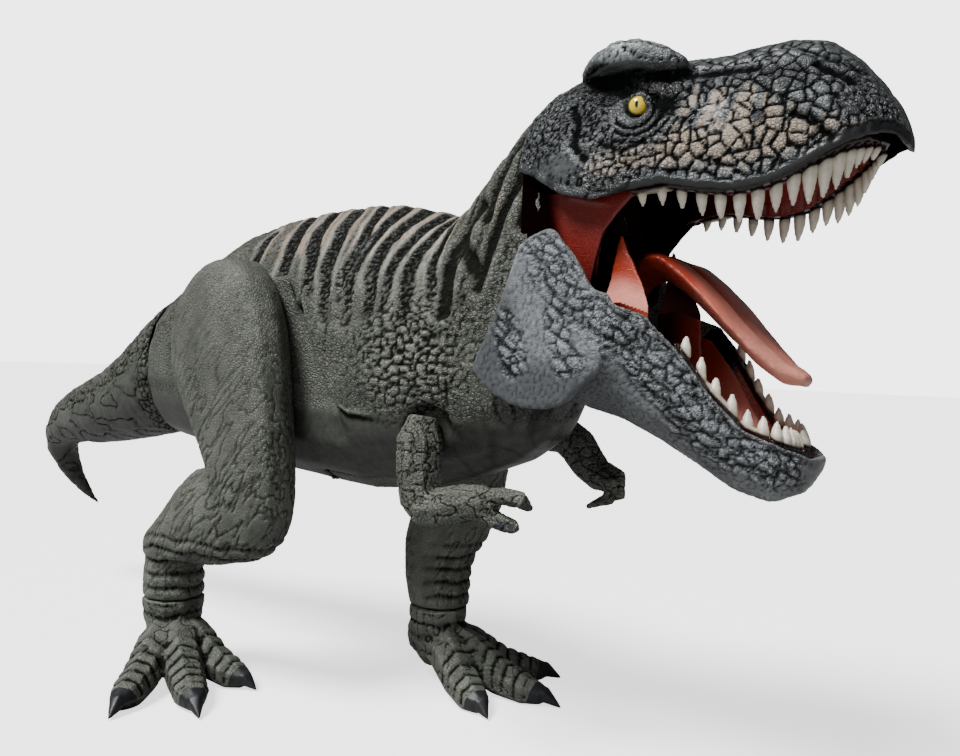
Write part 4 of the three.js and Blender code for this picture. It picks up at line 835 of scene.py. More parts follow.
def sculpt_head(piece):
    """Brows, eyelids, nostrils, lip, cobbled cheeks and the places of tan and black."""
    points, normals = read(piece)
    x, y, z = points.T
    flat = points[:, [0, 2]]
    side = outside(points, normals, HEAD_SPINE)
    lip_z = height_on(UPPER_LIP, x)
    flank = step(0.15, 0.55, np.abs(normals[:, 1]))
    top = step(0.45, 0.85, normals[:, 2])
    eye = np.hypot(x - EYE_X, z - EYE_Z)
    near_eye = 1 - step(14, 20, eye)
    lip_edge = step(4.0, 8.5, z - lip_z)
    muzzle = step(300, 335, x) * (1 - step(405, 425, x))
    cheek = np.exp(-(((x - 262) / 22) ** 2 + ((z - 392) / 12) ** 2)) * flank
    ear = np.exp(-(((x - 281) / 12) ** 2 + ((z - 412) / 14) ** 2)) * flank
    brow = np.exp(-((x - 292) / 34) ** 2) * step(440, 452, z)
    big = cobbles(points, 7.4, 61)
    mid = cobbles(points, 4.6, 67)
    lines = wrinkles(points * np.array([0.8, 1.0, 0.6]), 10, 71)
    deep = np.zeros(len(points))
    crease = np.zeros(len(points))
    for path, width, depth, only in (
            (BROW_HOLLOW, 6.0, 4.2, flank), (SNOUT_LINE, 3.0, 2.6, flank), (CHEEK_CREASE, 2.4, 2.2, flank),
            ([(263, 430), (270, 417), (269, 404), (277, 395)], 2.6, 1.8, flank),
            ([(290, 402), (300, 397), (312, 402)], 2.2, 1.2, flank)):
        gap, _ = near_path(flat, path)
        deep += depth * np.exp(-(gap / width) ** 2) * only
        crease = np.maximum(crease, np.exp(-(gap / width) ** 2) * only)
    for path, width, depth in ((NOSTRIL, 2.6, 3.4), (NOSTRIL_FOLD, 1.8, 1.6)):
        gap, _ = near_path(flat, path)
        slit = np.exp(-(gap / width) ** 2) * (np.abs(y) > 8)
        deep += depth * slit
        crease = np.maximum(crease, 0.45 * depth * slit)
    lids = (np.exp(-((eye - 13.5) / 1.2) ** 2) + np.exp(-((eye - 17.5) / 1.3) ** 2)
            + 0.7 * np.exp(-((eye - 22) / 1.6) ** 2)) * flank * (z < 424) * (x > 294)
    deep += 1.5 * lids + 2.2 * np.exp(-(((x - 297) / 24) ** 2 + ((z - 437) / 9) ** 2)) * (np.abs(y) > 36)
    calm = np.exp(-(((x - 352) / 17) ** 2 + ((z - 414) / 15) ** 2))
    muzzle = muzzle * (1 - 0.85 * calm)
    fine = 2.3 * (1 - big) * muzzle + 1.1 * (1 - mid) * (1 - muzzle) * (1 - calm)
    fine = fine * flank * lip_edge * (1 - near_eye)
    fine = fine * (1 - 0.8 * cheek) * (1 - 0.5 * step(430, 445, z)) + 0.45 * (1 - mid) * top * (1 - 0.5 * brow)
    fine += 0.8 * lines * (1 - step(300, 330, x)) * (1 - cheek) + 0.5 * lines * step(400, 425, x)
    fine += 1.0 * ear * (1 - big)
    write(piece, press(points, normals, side, deep, fine))
    skin = np.maximum(side, 0)
    lip_width = 5.0 + 4.0 * step(370, 430, x)
    lip = (1 - step(0.8, 1.2, (z - lip_z) / lip_width)) * step(292, 306, x)
    # Painted shadow under the brow and round the eye in its socket
    hollow = np.exp(-(((x - 297) / 27) ** 2 + ((z - 437) / 10) ** 2)) * (np.abs(y) > 36)
    socket = (1 - step(7.5, 11, eye)) * flank * (np.abs(y) < 54)
    tan = area_level(flat, TAN_AREA, 18) * flank
    for path, width in STREAKS:
        gap, _ = near_path(flat, path)
        tan *= step(0.6, 1.3, gap / width)
    rough = np.where(muzzle > 0.5, big, mid)
    crease = np.maximum.reduce([crease, 0.7 * lids, 0.5 * lines * (1 - step(300, 330, x)),
                                0.55 * (1 - rough) * flank * lip_edge * (1 - cheek) * (1 - near_eye)])
    mark(piece, "tan", (0.25 + 0.75 * rough) * tan * skin)
    gap, _ = near_path(flat, BROW_HOLLOW)
    # Black: the lip rim's own black paint, and painted shadow under the brow and in the eye sockets
    mark(piece, "black", np.maximum.reduce([lip, socket, 1.6 * hollow, 1.5 * np.exp(-(gap / 9.0) ** 2) * flank]))
    # Painted shade: the inner faces of the shell turn near black
    mark(piece, "inner", np.maximum(-side, 0))
    # Pale: lighter paint on the cheeks, and painted highlight on the brow and on the tops of the ear and snout
    # cobbles
    mark(piece, "pale", np.maximum.reduce([
        0.45 * cheek, brow, 0.4 * ear * big, 0.55 * muzzle * big * (z < 425)]) * skin)
    crown = step(438, 446, z) * step(318, 332, x)
    mark(piece, "plain", np.maximum.reduce([cheek, lip, 0.75 * brow, 0.9 * calm, 0.8 * crown]))
    # Painted shade in the creases, the eyelid folds and the cracks between cobbles
    mark(piece, "crease", crease * skin)
    mark_form(piece, skin * (1 - 0.7 * lip))


def eyelid(y):
    """A heavy almond ring round an eye, joined into the head before it is moulded."""
    bpy.ops.object.select_all(action="DESELECT")
    bpy.ops.mesh.primitive_torus_add(
        major_radius=9.6 * MM, minor_radius=3.9 * MM, major_segments=40, minor_segments=16,
        location=ORIGIN + Vector((EYE_X, y, EYE_Z - 1.5)) * MM, rotation=(math.pi / 2, 0, 0))
    ring = bpy.context.object
    ring.scale = (1.10, 0.80, 0.9)
    ring.rotation_euler.rotate_axis("Z", math.radians(-14))
    bpy.ops.object.transform_apply(location=True, rotation=True, scale=True)
    return ring


class FIGURE_OT_head(bpy.types.Operator):
    """Mould the upper head with brows, nostrils, lip and cobbled snout"""

    bl_idname = "figure.head"
    bl_label = "Upper head"

    def execute(self, context):
        paint, sculpt = context.scene.figure_paint, context.scene.figure_sculpt
        piece = copy_nodes(["skull_shell"], "head_skin")
        join(piece, eyelid(-54.5), eyelid(54.5))
        remould(piece, sculpt.head_cell)
        soften(piece, 30, sharpest=20, blunt=44)
        sculpt_head(piece)
        # The black layer paints the lip and the painted shadow under the brows and in the sockets; the inner layer
        # paints the shell's inside near black as shade
        material = hide_paint("head_charcoal", tuple(paint.head), (
            ("pale", linear("7a7f81"), 0.2, 1.0), ("tan", tuple(paint.tan), 0.30, 0.75),
            ("black", tuple(paint.lip), 0.30, 0.70), ("inner", linear("0b0707"), 0.3, 0.9)),
            pebble=sculpt.pebble * 0.9, relief=1.0, shine=0.34, crack_shade=0.5, gloss=0.5)
        finish(piece, material, "torso", "skull_shell")
        return {"FINISHED"}


def eye_paint(paint, y):
    """A glossy yellow eye with a dark slit facing outwards."""
    material, tree, shader, place = new_paint("eye_amber" + ("_left" if y > 0 else "_right"))
    centre = ORIGIN + Vector((EYE_X, y, EYE_Z)) * MM
    mapping = tree.nodes.new("ShaderNodeMapping")
    mapping.inputs["Location"].default_value = -centre
    tree.links.new(place, mapping.inputs["Vector"])
    parts = tree.nodes.new("ShaderNodeSeparateXYZ")
    tree.links.new(mapping.outputs[0], parts.inputs[0])
    ahead = math_node(tree, "SUBTRACT", parts.outputs[0], 0.0016)
    across = math_node(tree, "MULTIPLY", ahead, 2.3)
    radius = math_node(tree, "SQRT", math_node(tree, "ADD", math_node(tree, "MULTIPLY", across, across),
                       math_node(tree, "MULTIPLY", parts.outputs[2], parts.outputs[2])))
    ring = math_node(tree, "SQRT", math_node(tree, "ADD", math_node(tree, "MULTIPLY", ahead, ahead),
                     math_node(tree, "MULTIPLY", parts.outputs[2], parts.outputs[2])))
    iris = tuple(paint.iris)
    fleck = ramp(tree, noise(tree, place, 900.0, 3.0), 0.3, 0.7)
    shade = blend_colour(tree, fleck, [c * 0.75 for c in iris], iris)
    shade = blend_colour(tree, ramp(tree, ring, 0.0042, 0.0056), shade, linear("15130d"))
    shade = blend_colour(tree, ramp(tree, radius, 0.0017, 0.0026), linear("0c0b08"), shade)
    tree.links.new(shade, shader.inputs["Base Color"])
    shader.inputs["Roughness"].default_value = 0.12
    shader.inputs["Coat Weight"].default_value = 0.6
    return material


class FIGURE_OT_eyes(bpy.types.Operator):
    """Set the two glossy eyes in their sockets"""

    bl_idname = "figure.eyes"
    bl_label = "Eyes"

    def execute(self, context):
        paint = context.scene.figure_paint
        for side, word in ((-1, "right"), (1, "left")):
            low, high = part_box(f"{word}_eye")
            middle = (low + high) / 2
            bpy.ops.object.select_all(action="DESELECT")
            bpy.ops.mesh.primitive_uv_sphere_add(
                segments=48, ring_count=24, radius=7.3 * MM, location=middle, rotation=(math.pi / 2, 0, 0))
            ball = bpy.context.object
            bpy.ops.object.transform_apply(location=True, rotation=True, scale=True)
            ball.name = ball.data.name = f"eye_{word}_ball"
            bpy.ops.object.mode_set(mode="EDIT")
            bpy.ops.mesh.select_all(action="SELECT")
            bpy.ops.mesh.normals_make_consistent(inside=False)
            bpy.ops.object.mode_set(mode="OBJECT")
            finish(ball, eye_paint(paint, side * 50), "torso", f"{word}_eye")
        return {"FINISHED"}


JAW_RIM = [(318, 303), (339, 281), (353, 259), (370, 240), (388, 232), (402, 226)]
JAW_SPINE = [(240, 315), (272, 312), (294, 314), (318, 306), (339, 284), (353, 262), (370, 244), (388, 236),
             (410, 228)]


def sculpt_jaw(piece):
    """Cobbles and wrinkles over the cheeks, a lip roll and a smooth chin."""
    points, normals = read(piece)
    x, y, z = points.T
    flat = points[:, [0, 2]]
    side = outside(points, normals, JAW_SPINE)
    outer = step(0.1, 0.5, normals[:, 1] * np.sign(y))
    side = np.where(np.abs(y) > 60.6, outer, side)
    rim_gap, rim_along = near_path(flat, JAW_SPINE[1:])
    along = np.stack([(0.8 * x - 0.6 * z) * 0.55, y, 0.6 * x + 0.8 * z], 1)
    big = cobbles(along, 5.2, 81)
    mid = cobbles(points * np.array([1, 1, 0.8]), 4.2, 83)
    lines = wrinkles(along * np.array([0.6, 0.8, 1.0]), 9, 87)
    zone = np.zeros(len(points))
    for path, width in (
            ([(246, 350), (258, 340), (268, 318), (282, 306)], 20), ([(228, 300), (236, 272)], 10),
            ([(264, 305), (272, 276)], 12), ([(290, 303), (318, 292), (332, 268), (352, 240), (384, 222)], 20)):
        gap, _ = near_path(flat, path)
        zone = np.maximum(zone, 1 - step(0.55, 1.25, gap / width + 0.35 * cloud(points, 16, 89)))
    roll = np.exp(-((rim_gap - 8.5) / 2.2) ** 2) * (x > 285)
    beads = np.exp(-((rim_gap - 5.0) / 3.0) ** 2) * (x > 320) * (0.5 + 0.5 * np.cos(2 * math.pi * rim_along * 21))
    fine = 1.3 * (1 - big) * zone + 0.5 * (1 - mid) + 1.2 * lines * zone + 0.8 * roll + 0.7 * beads
    write(piece, press(points, normals, side, 0.0, fine))
    skin = np.maximum(side, 0)
    # Painted shade in the cracks between cobbles, the wrinkles and between the beads of the lip roll
    mark(piece, "crease", np.maximum.reduce([0.5 * (1 - big) * zone, 0.4 * lines * zone, 0.3 * roll,
                                             0.8 * beads * step(0.4, 0.9, beads)]) * skin)
    mark(piece, "black", 0.85 * (1 - step(1.0, 2.6, rim_gap)) * (x > 300))
    within = step(0, 0.6, -side)
    mark(piece, "lining", within * step(322, 346, x) * step(2.5, 5.0, rim_gap) * (1 - step(382, 390, x)))
    # Painted shade: the jaw's inner faces turn near black
    mark(piece, "inner", within * (1 - step(322, 346, x) * step(2.5, 5.0, rim_gap)))
    skirt = (1 - step(285, 320, x)) * step(222, 244, x + 0.25 * (z - 300)) * step(262, 284, z)
    edge = (1 - skirt) * (1 - step(285, 330, x))
    under_rim = np.exp(-((rim_gap - 13) / 4) ** 2) * (x > 290)
    # Pale: paler skirt and lip roll, and painted highlight on the cheek cobbles' tops
    mark(piece, "pale", np.maximum.reduce([0.6 * zone * big, 0.45 * skirt, 0.5 * under_rim]) * skin)
    mark(piece, "dark", edge)
    mark(piece, "plain", (1 - zone) * (1 - 0.4 * skirt))
    mark_form(piece, skin)


class FIGURE_OT_lower_jaw(bpy.types.Operator):
    """Mould the swinging jaw with its cheek plates"""

    bl_idname = "figure.lower_jaw"
    bl_label = "Lower jaw"

    def execute(self, context):
        paint, sculpt = context.scene.figure_paint, context.scene.figure_sculpt
        piece = copy_nodes(["lower_jaw"], "jaw_skin")
        remould(piece, sculpt.head_cell)
        soften(piece, 30, sharpest=20, blunt=44)
        sculpt_jaw(piece)
        # The inner layer paints the jaw's inside near black as shade
        material = hide_paint("jaw_grey", tuple(paint.jaw), (
            ("dark", linear("434648"), 0.2, 1.0), ("pale", linear("868b90"), 0.2, 1.0),
            ("black", linear("1d1e20"), 0.30, 0.75),
            ("lining", tuple(paint.gum), 0.3, 0.8), ("inner", linear("090909"), 0.3, 0.8)),
            pebble=sculpt.pebble, relief=1.0, crack_shade=0.6, hollow_shade=0.55)
        finish(piece, material, "jaw", "lower_jaw")
        return {"FINISHED"}


CURTAIN = [(226, 324), (238, 320), (252, 318), (262, 318), (271, 313), (277, 318), (281, 337), (285, 352),
           (294, 363), (305, 374), (316, 381)]


def curtain(y):
    """A thin sheet that hangs from the roof of the mouth behind one cheek: a grid bent to its outline."""
    bpy.ops.object.select_all(action="DESELECT")
    bpy.ops.mesh.primitive_grid_add(x_subdivisions=60, y_subdivisions=4, size=1, location=(0, 0, 0))
    sheet = bpy.context.object
    points, _ = read(sheet)
    across, up, _ = (points * MM + np.array(ORIGIN)).T
    stops = np.linspace(-0.5, 0.5, len(CURTAIN))
    x, foot = (np.interp(across, stops, column) for column in zip(*CURTAIN))
    top = 386 + 12 * (1 - step(256, 268, x))
    write(sheet, np.stack([x, y + 0 * x, foot + (up + 0.5) * (top - foot)], 1))
    modify(sheet, "SOLIDIFY", thickness=2.2 * MM, offset=0)
    return sheet


class FIGURE_OT_mouth(bpy.types.Operator):
    """Mould the soft roof, floor and tongue of the mouth"""

    bl_idname = "figure.mouth"
    bl_label = "Mouth lining"

    def execute(self, context):
        paint, sculpt = context.scene.figure_paint, context.scene.figure_sculpt
        roof = copy_nodes(["palate_liner"], "mouth_roof")
        join(roof, curtain(-50.6), curtain(50.6))
        remould(roof, sculpt.small_cell)
        soften(roof, 14)
        points, normals = read(roof)
        x, y, z = points.T
        ribs = np.exp(-((((x + 0.25 * np.abs(y)) % 7.5) - 3.75) / 1.1) ** 2)
        ribs = ribs * (np.abs(y) < 44) * step(300, 330, x)
        write(roof, points - normals * (0.35 * ribs)[:, None])
        # Painted shade: the roof darkens towards the throat, the curtains darken lower down and at the back, their
        # inner faces turn near black, and the grooves between the ribs darken
        hung = (np.abs(y) > 46) * (z < 378)
        inward = step(-0.2, 0.3, -normals[:, 1] * np.sign(y))
        dark = np.maximum.reduce([1 - step(254, 268, x + 0.25 * (z - 340)), 0.2 + 0.4 * (1 - step(322, 350, z)),
                                  inward * (1 - step(290, 335, x))])
        dark = np.where(hung, dark, 1 - step(290, 372, x))
        mark(roof, "deep", dark)
        mark(roof, "crease", 0.5 * ribs)
        finish(roof, soft_paint("mouth_red", tuple(paint.mouth), linear("0a0202"), linear("a8503f")),
               "torso", "palate_liner")

        floor = copy_nodes(["jaw_liner"], "mouth_floor")
        remould(floor, sculpt.small_cell * 0.90)
        soften(floor, 20, sharpest=30, blunt=70)
        points, normals = read(floor)
        x, y, z = points.T
        rim = height_on(JAW_SPINE, x)
        ribs = np.exp(-((((x + 0.2 * np.abs(y)) % 9.0) - 4.5) / 1.3) ** 2)
        ribs = ribs * (np.abs(y) < 22) * (normals[:, 2] > 0.2)
        seam = np.exp(-((np.abs(y) - 24) / 1.6) ** 2) * (normals[:, 2] > 0.2)
        write(floor, points - normals * (0.4 * ribs + 0.5 * seam)[:, None])
        web = (np.abs(y) > 34) * (x < 330) * (z > rim - 3)
        inward = step(-0.2, 0.3, -normals[:, 1] * np.sign(y))
        # Painted shade: the back of the floor and the webs' inner faces turn near black, and the grooves darken
        mark(floor, "deep", np.maximum(
            0.96 * (1 - step(288, 318, x)) * (1 - web), 0.92 * web * inward * (1 - step(0, 10, z - 330))))
        middle = (1 - web) * (1 - step(316, 350, x))
        mark(floor, "ember", np.maximum(web * step(2, 18, z - rim), middle))
        mark(floor, "crease", 0.4 * ribs + 0.5 * seam)
        # Painted light: the floor's pink is lighter than the jaw lining's, to make up for the shade the jaw's walls
        # cast on it
        finish(floor, soft_paint("mouth_pink", linear("ee9a8a"), linear("190403"), linear("9c2f14")),
               "jaw", "jaw_liner")

        tongue = copy_nodes(["tongue"], "tongue_skin")
        remould(tongue, sculpt.small_cell * 1.1)
        soften(tongue, 30, sharpest=50, blunt=80)
        points, normals = read(tongue)
        x, y, z = points.T
        bins = np.arange(x.min(), x.max(), 6.0)
        middle = [(z[np.abs(x - at) < 5].min() + z[np.abs(x - at) < 5].max()) / 2 for at in bins]
        middle = np.interp(x, bins, middle)
        tip = step(356, 390, x)
        wide = step(286, 316, x) * (1 - step(350, 400, x)) + 0.25 * step(330, 370, x) + 0.55 * tip
        thin = middle + (z - middle) * (1 - 0.12 * step(292, 320, x) + 0.75 * tip)
        y = y * (1 + wide)
        cup = 6.5 * (np.minimum(np.abs(y), 40) / 40) ** 2 * step(290, 320, x) * (1 - step(372, 394, x))
        write(tongue, np.stack([x, y, thin + cup], 1))
        points, normals = read(tongue)
        x, y, z = points.T
        up = step(0.1, 0.5, normals[:, 2] + 0.35 * normals[:, 0])
        groove = np.exp(-(y / 5.5) ** 2) * up * step(286, 306, x) * (1 - step(384, 396, x))
        bumps = cobbles(points, 2.6, 91)
        write(tongue, points - normals * (4.2 * groove + 0.18 * (1 - bumps) * up)[:, None])
        # Painted shade: the back of the tongue darkens to near black towards the throat, and the groove darkens
        mark(tongue, "deep", 0.9 * (1 - step(276, 330, x)))
        mark(tongue, "ember", 1 - step(318, 386, x + 5 * cloud(points, 9, 93)))
        mark(tongue, "crease", 0.45 * groove)
        finish(tongue, soft_paint("tongue_pink", linear("d08a7a"), linear("210403"), linear("96301c"), shine=0.28),
               "jaw", "tongue")
        return {"FINISHED"}


def out_of_gum(points, upper):
    """How far points of a tooth row stand out past the lip, in millimetres."""
    lip = height_on(UPPER_LIP if upper else JAW_RIM, points[:, 0])
    return (lip - points[:, 2]) * (1 if upper else -1)


class FIGURE_OT_teeth(bpy.types.Operator):
    """Mould the two tooth rows, round and tapering, on their gums"""

    bl_idname = "figure.teeth"
    bl_label = "Teeth"

    def execute(self, context):
        paint, sculpt = context.scene.figure_paint, context.scene.figure_sculpt
        material = tooth_paint(paint)
        for node, body, upper in (("upper_teeth", "torso", True), ("lower_teeth", "jaw", False)):
            row = copy_nodes([node], node.replace("_teeth", "_tooth_row"))
            remould(row, sculpt.small_cell * 0.75)
            soften(row, 6, sharpest=120, blunt=150)
            for _ in range(3):
                points, normals = read(row)
                write(row, points + normals * (0.46 * step(-1.0, 0.8, out_of_gum(points, upper)))[:, None])
                soften(row, 2, sharpest=120, blunt=150)
            points, _ = read(row)
            out = out_of_gum(points, upper)
            mark(row, "gum", 1 - step(0.9, 1.9, out))
            mark(row, "root", 1 - step(1.5, 5.0, out))
            finish(row, material, body, node)
        return {"FINISHED"}


def sculpt_limb(piece, seed, knee):
    """Fine creases over a leg, deeper at the knee, with broad scutes down the shin."""
    points, normals = read(piece)
    x, y, z = points.T
    free = 1 - step(0.93, 0.99, np.abs(normals[:, 1])) * (np.abs(y) < LEG_FACE)
    free *= step(65.5, 69, z)
    turned = points.copy()
    turned[:, 0] = (0.64 * x + 0.77 * z) * 0.26
    turned[:, 2] = -0.77 * x + 0.64 * z
    lines = wrinkles(turned, 4.6, seed)
    low = 1 - step(215, 300, z)
    bend = np.exp(-(((x - knee[0]) / 38) ** 2 + ((z - knee[1]) / 42) ** 2))
    mesh = cobbles(points, 3.6, seed + 3)
    carve = lines * (0.28 + 0.35 * low + 0.40 * bend) + 0.18 * (1 - mesh)
    lobe = 0.5 + 0.5 * np.cos(2 * math.pi * (z + 2.5 * cloud(points, 16, seed + 7)) / 11.5)
    shin = 1 - step(SHIN_TOP - 14, SHIN_TOP + 10, z)
    shin = shin * step(-0.3, 0.35, normals[:, 0] + 0.35 * np.abs(normals[:, 1]))
    split = np.exp(-((np.abs(y) - LEG_SPLIT) / 3.0) ** 2) * (normals[:, 0] > 0.4)
    carve += shin * (1.5 * (1 - lobe) ** 2 + 0.9 * split)
    write(piece, points - normals * (carve * free)[:, None])
    # Painted shade in the creases and between the shin's scutes
    mark(piece, "crease", (lines * (0.14 + 0.16 * low + 0.2 * bend) + 0.6 * shin * (1 - lobe) ** 3) * free)
    mark_form(piece, free)


class FIGURE_OT_legs(bpy.types.Operator):
    """Mould both legs, each in an outer and an inner half"""

    bl_idname = "figure.legs"
    bl_label = "Legs"

    def execute(self, context):
        paint, sculpt = context.scene.figure_paint, context.scene.figure_sculpt
        material = hide_paint(
            "hide_legs", tuple(paint.hide), pebble=sculpt.pebble * 0.8, relief=0.7, crack_shade=0.7, hollow_shade=0.35)
        for side, word, seed, knee in ((-1, "right", 101, (0, 160)), (1, "left", 131, (100, 190))):
            names = [f"{word}_leg_outer", f"{word}_leg_inner"]
            whole = copy_nodes(names, f"{word}_leg")
            remould(whole, sculpt.limb_cell)
            soften(whole, 40)
            sculpt_limb(whole, seed, knee)
            for name, away in zip(names, (side, -side)):
                half = halve(whole, f"{name}_skin", ORIGIN.y + (side * LEG_SPLIT + away * SEAM_GAP) * MM, away)
                finish(half, material, f"{word}_leg", name)
            bpy.data.objects.remove(whole)
        return {"FINISHED"}


# Where each ankle stands (x, y), which way the foot points, and each toe's spread in degrees and reach
FEET = {
    "right": {"ankle": (-105, -66), "turn": -25, "reaches": ((-33, 109), (0, 118), (33, 96))},
    "left": {"ankle": (80, 66), "turn": 6, "reaches": ((33, 109), (0, 118), (-33, 96))},
}


class FIGURE_OT_feet(bpy.types.Operator):
    """Mould the feet with scutes over the toes and dark horn claws"""

    bl_idname = "figure.feet"
    bl_label = "Feet"

    def execute(self, context):
        paint, sculpt = context.scene.figure_paint, context.scene.figure_sculpt
        material = hide_paint("hide_feet", tuple(paint.hide), (
            ("claw", linear("1d1e21"), 0.42, 0.58),), pebble=sculpt.pebble * 0.8, relief=0.8, crack_shade=0.72)
        for word, foot in FEET.items():
            piece = copy_nodes([f"{word}_foot"], f"{word}_foot_skin")
            remould(piece, sculpt.small_cell * 1.25)
            soften(piece, 14, sharpest=30, blunt=60)
            points, normals = read(piece)
            x, y, z = points.T
            ax, ay = foot["ankle"]
            claw = np.zeros(len(points))
            ring = np.zeros(len(points))
            for spread, reach in foot["reaches"]:
                angle = math.radians(foot["turn"] + spread)
                out = (x - ax) * math.cos(angle) + (y - ay) * math.sin(angle)
                aside = np.abs(-(x - ax) * math.sin(angle) + (y - ay) * math.cos(angle))
                near = 1 - step(13, 19, aside)
                tip = step(0.775, 0.80, out / reach - 0.0025 * (z - 8)) * (1 - step(14, 17, aside))
                claw = np.maximum(claw, tip)
                wave = 0.5 + 0.5 * np.cos(2 * math.pi * (out + 1.5 * cloud(points, 9, 151)) / 9.5)
                toe = step(0.32, 0.42, out / reach) * (1 - step(0.74, 0.78, out / reach)) * near
                ring = np.maximum(ring, toe * (1 - wave) ** 2)
            up = step(-0.1, 0.5, normals[:, 2] + 0.3)
            shank = step(22, 34, z) * (1 - step(60, 63, z)) * np.exp(-((np.hypot(x - ax, y - ay) - 26) / 9) ** 2)
            lobe = 0.5 + 0.5 * np.cos(2 * math.pi * (z + 2 * cloud(points, 12, 153)) / 11.5)
            lines = wrinkles(points, 8, 157)
            sole = step(0.4, 1.6, z)
            carve = (1.2 * ring * up + 0.9 * shank * (1 - lobe) ** 2 + 0.35 * lines * (1 - claw)) * sole
            write(piece, points - normals * (carve * (1 - 0.8 * claw))[:, None])
            mark(piece, "claw", claw)
            mark(piece, "plain", claw)
            # Painted shade in the rings across the toes, the wrinkles and between the shank's scutes
            mark(piece, "crease", (0.55 * ring * up + 0.3 * lines + 0.4 * shank * (1 - lobe) ** 3) * (1 - claw))
            mark_form(piece, 1 - 0.6 * claw)
            finish(piece, material, f"{word}_foot_body", f"{word}_foot")
        return {"FINISHED"}


class FIGURE_OT_arms(bpy.types.Operator):
    """Mould the small arms and their two-fingered hands"""

    bl_idname = "figure.arms"
    bl_label = "Arms"

    def execute(self, context):
        paint, sculpt = context.scene.figure_paint, context.scene.figure_sculpt
        material = hide_paint("hide_arms", tuple(paint.hide), (
            ("claw", linear("3c3e40"), 0.42, 0.58),), pebble=sculpt.pebble * 0.8, relief=0.8, crack_shade=0.72)
        for word, tips in (("right", [(243, 177), (229, 166)]), ("left", [(224, 169)])):
            piece = copy_nodes([f"{word}_arm"], f"{word}_arm_skin")
            remould(piece, sculpt.small_cell)
            soften(piece, 16, sharpest=30, blunt=60)
            points, normals = read(piece)
            x, y, z = points.T
            lines = wrinkles(points * np.array([0.7, 1, 1]), 6.5, 171)
            mesh = cobbles(points, 3.2, 173)
            free = 1 - step(0.93, 0.99, np.abs(normals[:, 1])) * (np.abs(y) < 47.5)
            write(piece, points - normals * ((0.5 * lines + 0.3 * (1 - mesh)) * free)[:, None])
            claw = np.zeros(len(points))
            for tip in tips:
                claw = np.maximum(claw, 1 - step(6, 8, np.hypot(x - tip[0], z - tip[1])))
            mark(piece, "claw", claw)
            # Painted shade in the wrinkles and the cracks of the fine mesh
            mark(piece, "crease", 0.35 * lines + 0.2 * (1 - mesh))
            mark_form(piece, free)
            finish(piece, material, f"{word}_arm_body", f"{word}_arm")
        return {"FINISHED"}


class FIGURE_OT_pegs(bpy.types.Operator):
    """Paint the CAD pegs and pins, which keep their shapes"""

    bl_idname = "figure.pegs"
    bl_label = "Pegs and pins"

    def execute(self, context):
        nylon = plain_paint("peg_black", linear("2b2c2d"), 0.5)
        steel = plain_paint("pin_steel", linear("9a9da0"), 0.32, metal=1.0, grain=1500.0)
        for name, node in frame["nodes"].items():
            if name.endswith("_peg") or name.endswith("_pin"):
                node.data.materials.clear()
                node.data.materials.append(steel if name.endswith("_pin") else nylon)
        return {"FINISHED"}


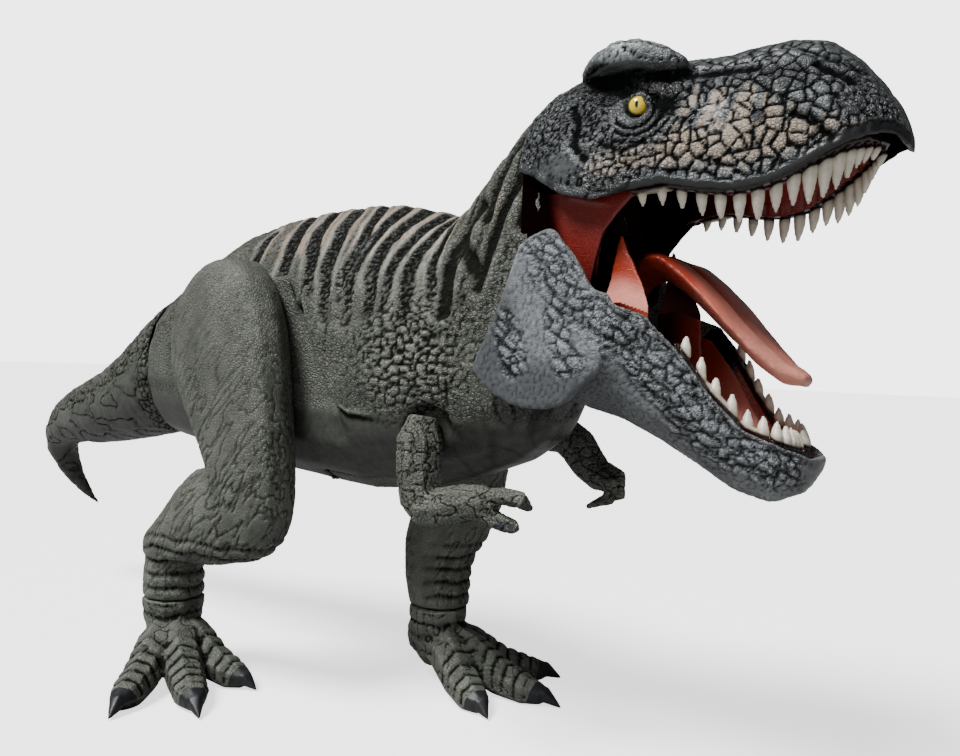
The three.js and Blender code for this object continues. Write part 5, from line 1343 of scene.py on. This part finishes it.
class FIGURE_OT_studio(bpy.types.Operator):
    """Set the pale floor, the soft lights and the camera"""

    bl_idname = "figure.studio"
    bl_label = "Studio"

    def execute(self, context):
        studio = context.scene.figure_studio
        bpy.ops.object.select_all(action="DESELECT")
        bpy.ops.mesh.primitive_plane_add(size=30, location=(0, 0, 0))
        floor = bpy.context.object
        floor.name = "studio_floor"
        material, tree, shader, place = new_paint("studio_white")
        seen = tree.nodes.new("ShaderNodeLightPath").outputs["Is Camera Ray"]
        pale = blend_colour(tree, noise(tree, place, 3.0), (0.90, 0.90, 0.90), (0.93, 0.93, 0.93))
        tree.links.new(blend_colour(tree, seen, (0.30, 0.30, 0.30), pale), shader.inputs["Base Color"])
        tree.links.new(math_node(tree, "MULTIPLY", seen, studio.backdrop * 0.4), shader.inputs["Emission Strength"])
        shader.inputs["Emission Color"].default_value = (1, 1, 1, 1)
        shader.inputs["Roughness"].default_value = 0.7
        floor.data.materials.append(material)

        world = bpy.data.worlds.new("studio_sky")
        context.scene.world = world
        world.use_nodes = True
        tree = world.node_tree
        background = tree.nodes["Background"]
        background.inputs[0].default_value = (1, 1, 1, 1)
        seen = tree.nodes.new("ShaderNodeLightPath").outputs["Is Camera Ray"]
        strength = math_node(tree, "MULTIPLY_ADD", seen, studio.backdrop - studio.sky)
        strength.node.inputs[2].default_value = studio.sky
        tree.links.new(strength, background.inputs[1])

        sun = bpy.data.objects.new("key", bpy.data.lights.new("key", "SUN"))
        sun.data.energy = studio.key
        sun.data.angle = math.radians(KEY_ANGLE)
        sun.rotation_euler = Vector(KEY_AHEAD).to_track_quat("-Z", "Y").to_euler()
        context.scene.collection.objects.link(sun)

        lamp = bpy.data.objects.new("fill", bpy.data.lights.new("fill", "AREA"))
        lamp.data.energy = studio.fill
        lamp.data.size = FILL_SIZE
        lamp.location = FILL_PLACE
        lamp.rotation_euler = (Vector(FILL_AIM) - Vector(FILL_PLACE)).to_track_quat("-Z", "Y").to_euler()
        context.scene.collection.objects.link(lamp)

        place = ORIGIN + Vector(CAMERA_PLACE) * MM
        right = Vector(CAMERA_RIGHT).normalized()
        ahead = Vector(CAMERA_AHEAD).normalized()
        up = right.cross(ahead).normalized()
        camera = bpy.data.objects.new("camera", bpy.data.cameras.new("camera"))
        camera.data.lens = studio.lens
        camera.data.sensor_width = 36
        camera.data.dof.use_dof = False
        camera.matrix_world = Matrix((
            (right.x, up.x, -ahead.x, place.x),
            (right.y, up.y, -ahead.y, place.y),
            (right.z, up.z, -ahead.z, place.z),
            (0, 0, 0, 1)))
        context.scene.collection.objects.link(camera)
        context.scene.camera = camera
        return {"FINISHED"}


OPERATORS = (
    FIGURE_OT_studio, FIGURE_OT_trunk, FIGURE_OT_tail, FIGURE_OT_hatch, FIGURE_OT_head, FIGURE_OT_eyes,
    FIGURE_OT_lower_jaw, FIGURE_OT_mouth, FIGURE_OT_teeth, FIGURE_OT_legs, FIGURE_OT_feet,
    FIGURE_OT_arms, FIGURE_OT_pegs,
)


class FIGURE_PT_panel(bpy.types.Panel):
    """Lists the figure's pieces in the sidebar."""

    bl_idname = "FIGURE_PT_panel"
    bl_label = "Toy tyrannosaur"
    bl_space_type = "VIEW_3D"
    bl_region_type = "UI"
    bl_category = "Figure"

    def draw(self, context):
        layout = self.layout
        for operator in OPERATORS:
            layout.operator(operator.bl_idname)
        for group in (context.scene.figure_paint, context.scene.figure_sculpt, context.scene.figure_studio):
            box = layout.box()
            for key in group.__annotations__:
                box.prop(group, key)


GROUPS = (("figure_paint", FigurePaint), ("figure_sculpt", FigureSculpt), ("figure_studio", FigureStudio))


def register():
    for name, group in GROUPS:
        bpy.utils.register_class(group)
        setattr(bpy.types.Scene, name, bpy.props.PointerProperty(type=group))
    for kind in OPERATORS + (FIGURE_PT_panel,):
        bpy.utils.register_class(kind)


def unregister():
    for kind in reversed(OPERATORS + (FIGURE_PT_panel,)):
        bpy.utils.unregister_class(kind)
    for name, group in reversed(GROUPS):
        delattr(bpy.types.Scene, name)
        bpy.utils.unregister_class(group)


def main():
    """Register everything and run each step in order."""
    register()
    for operator in OPERATORS:
        family, name = operator.bl_idname.split(".")
        getattr(getattr(bpy.ops, family), name)()


if __name__ == "__main__":
    main()
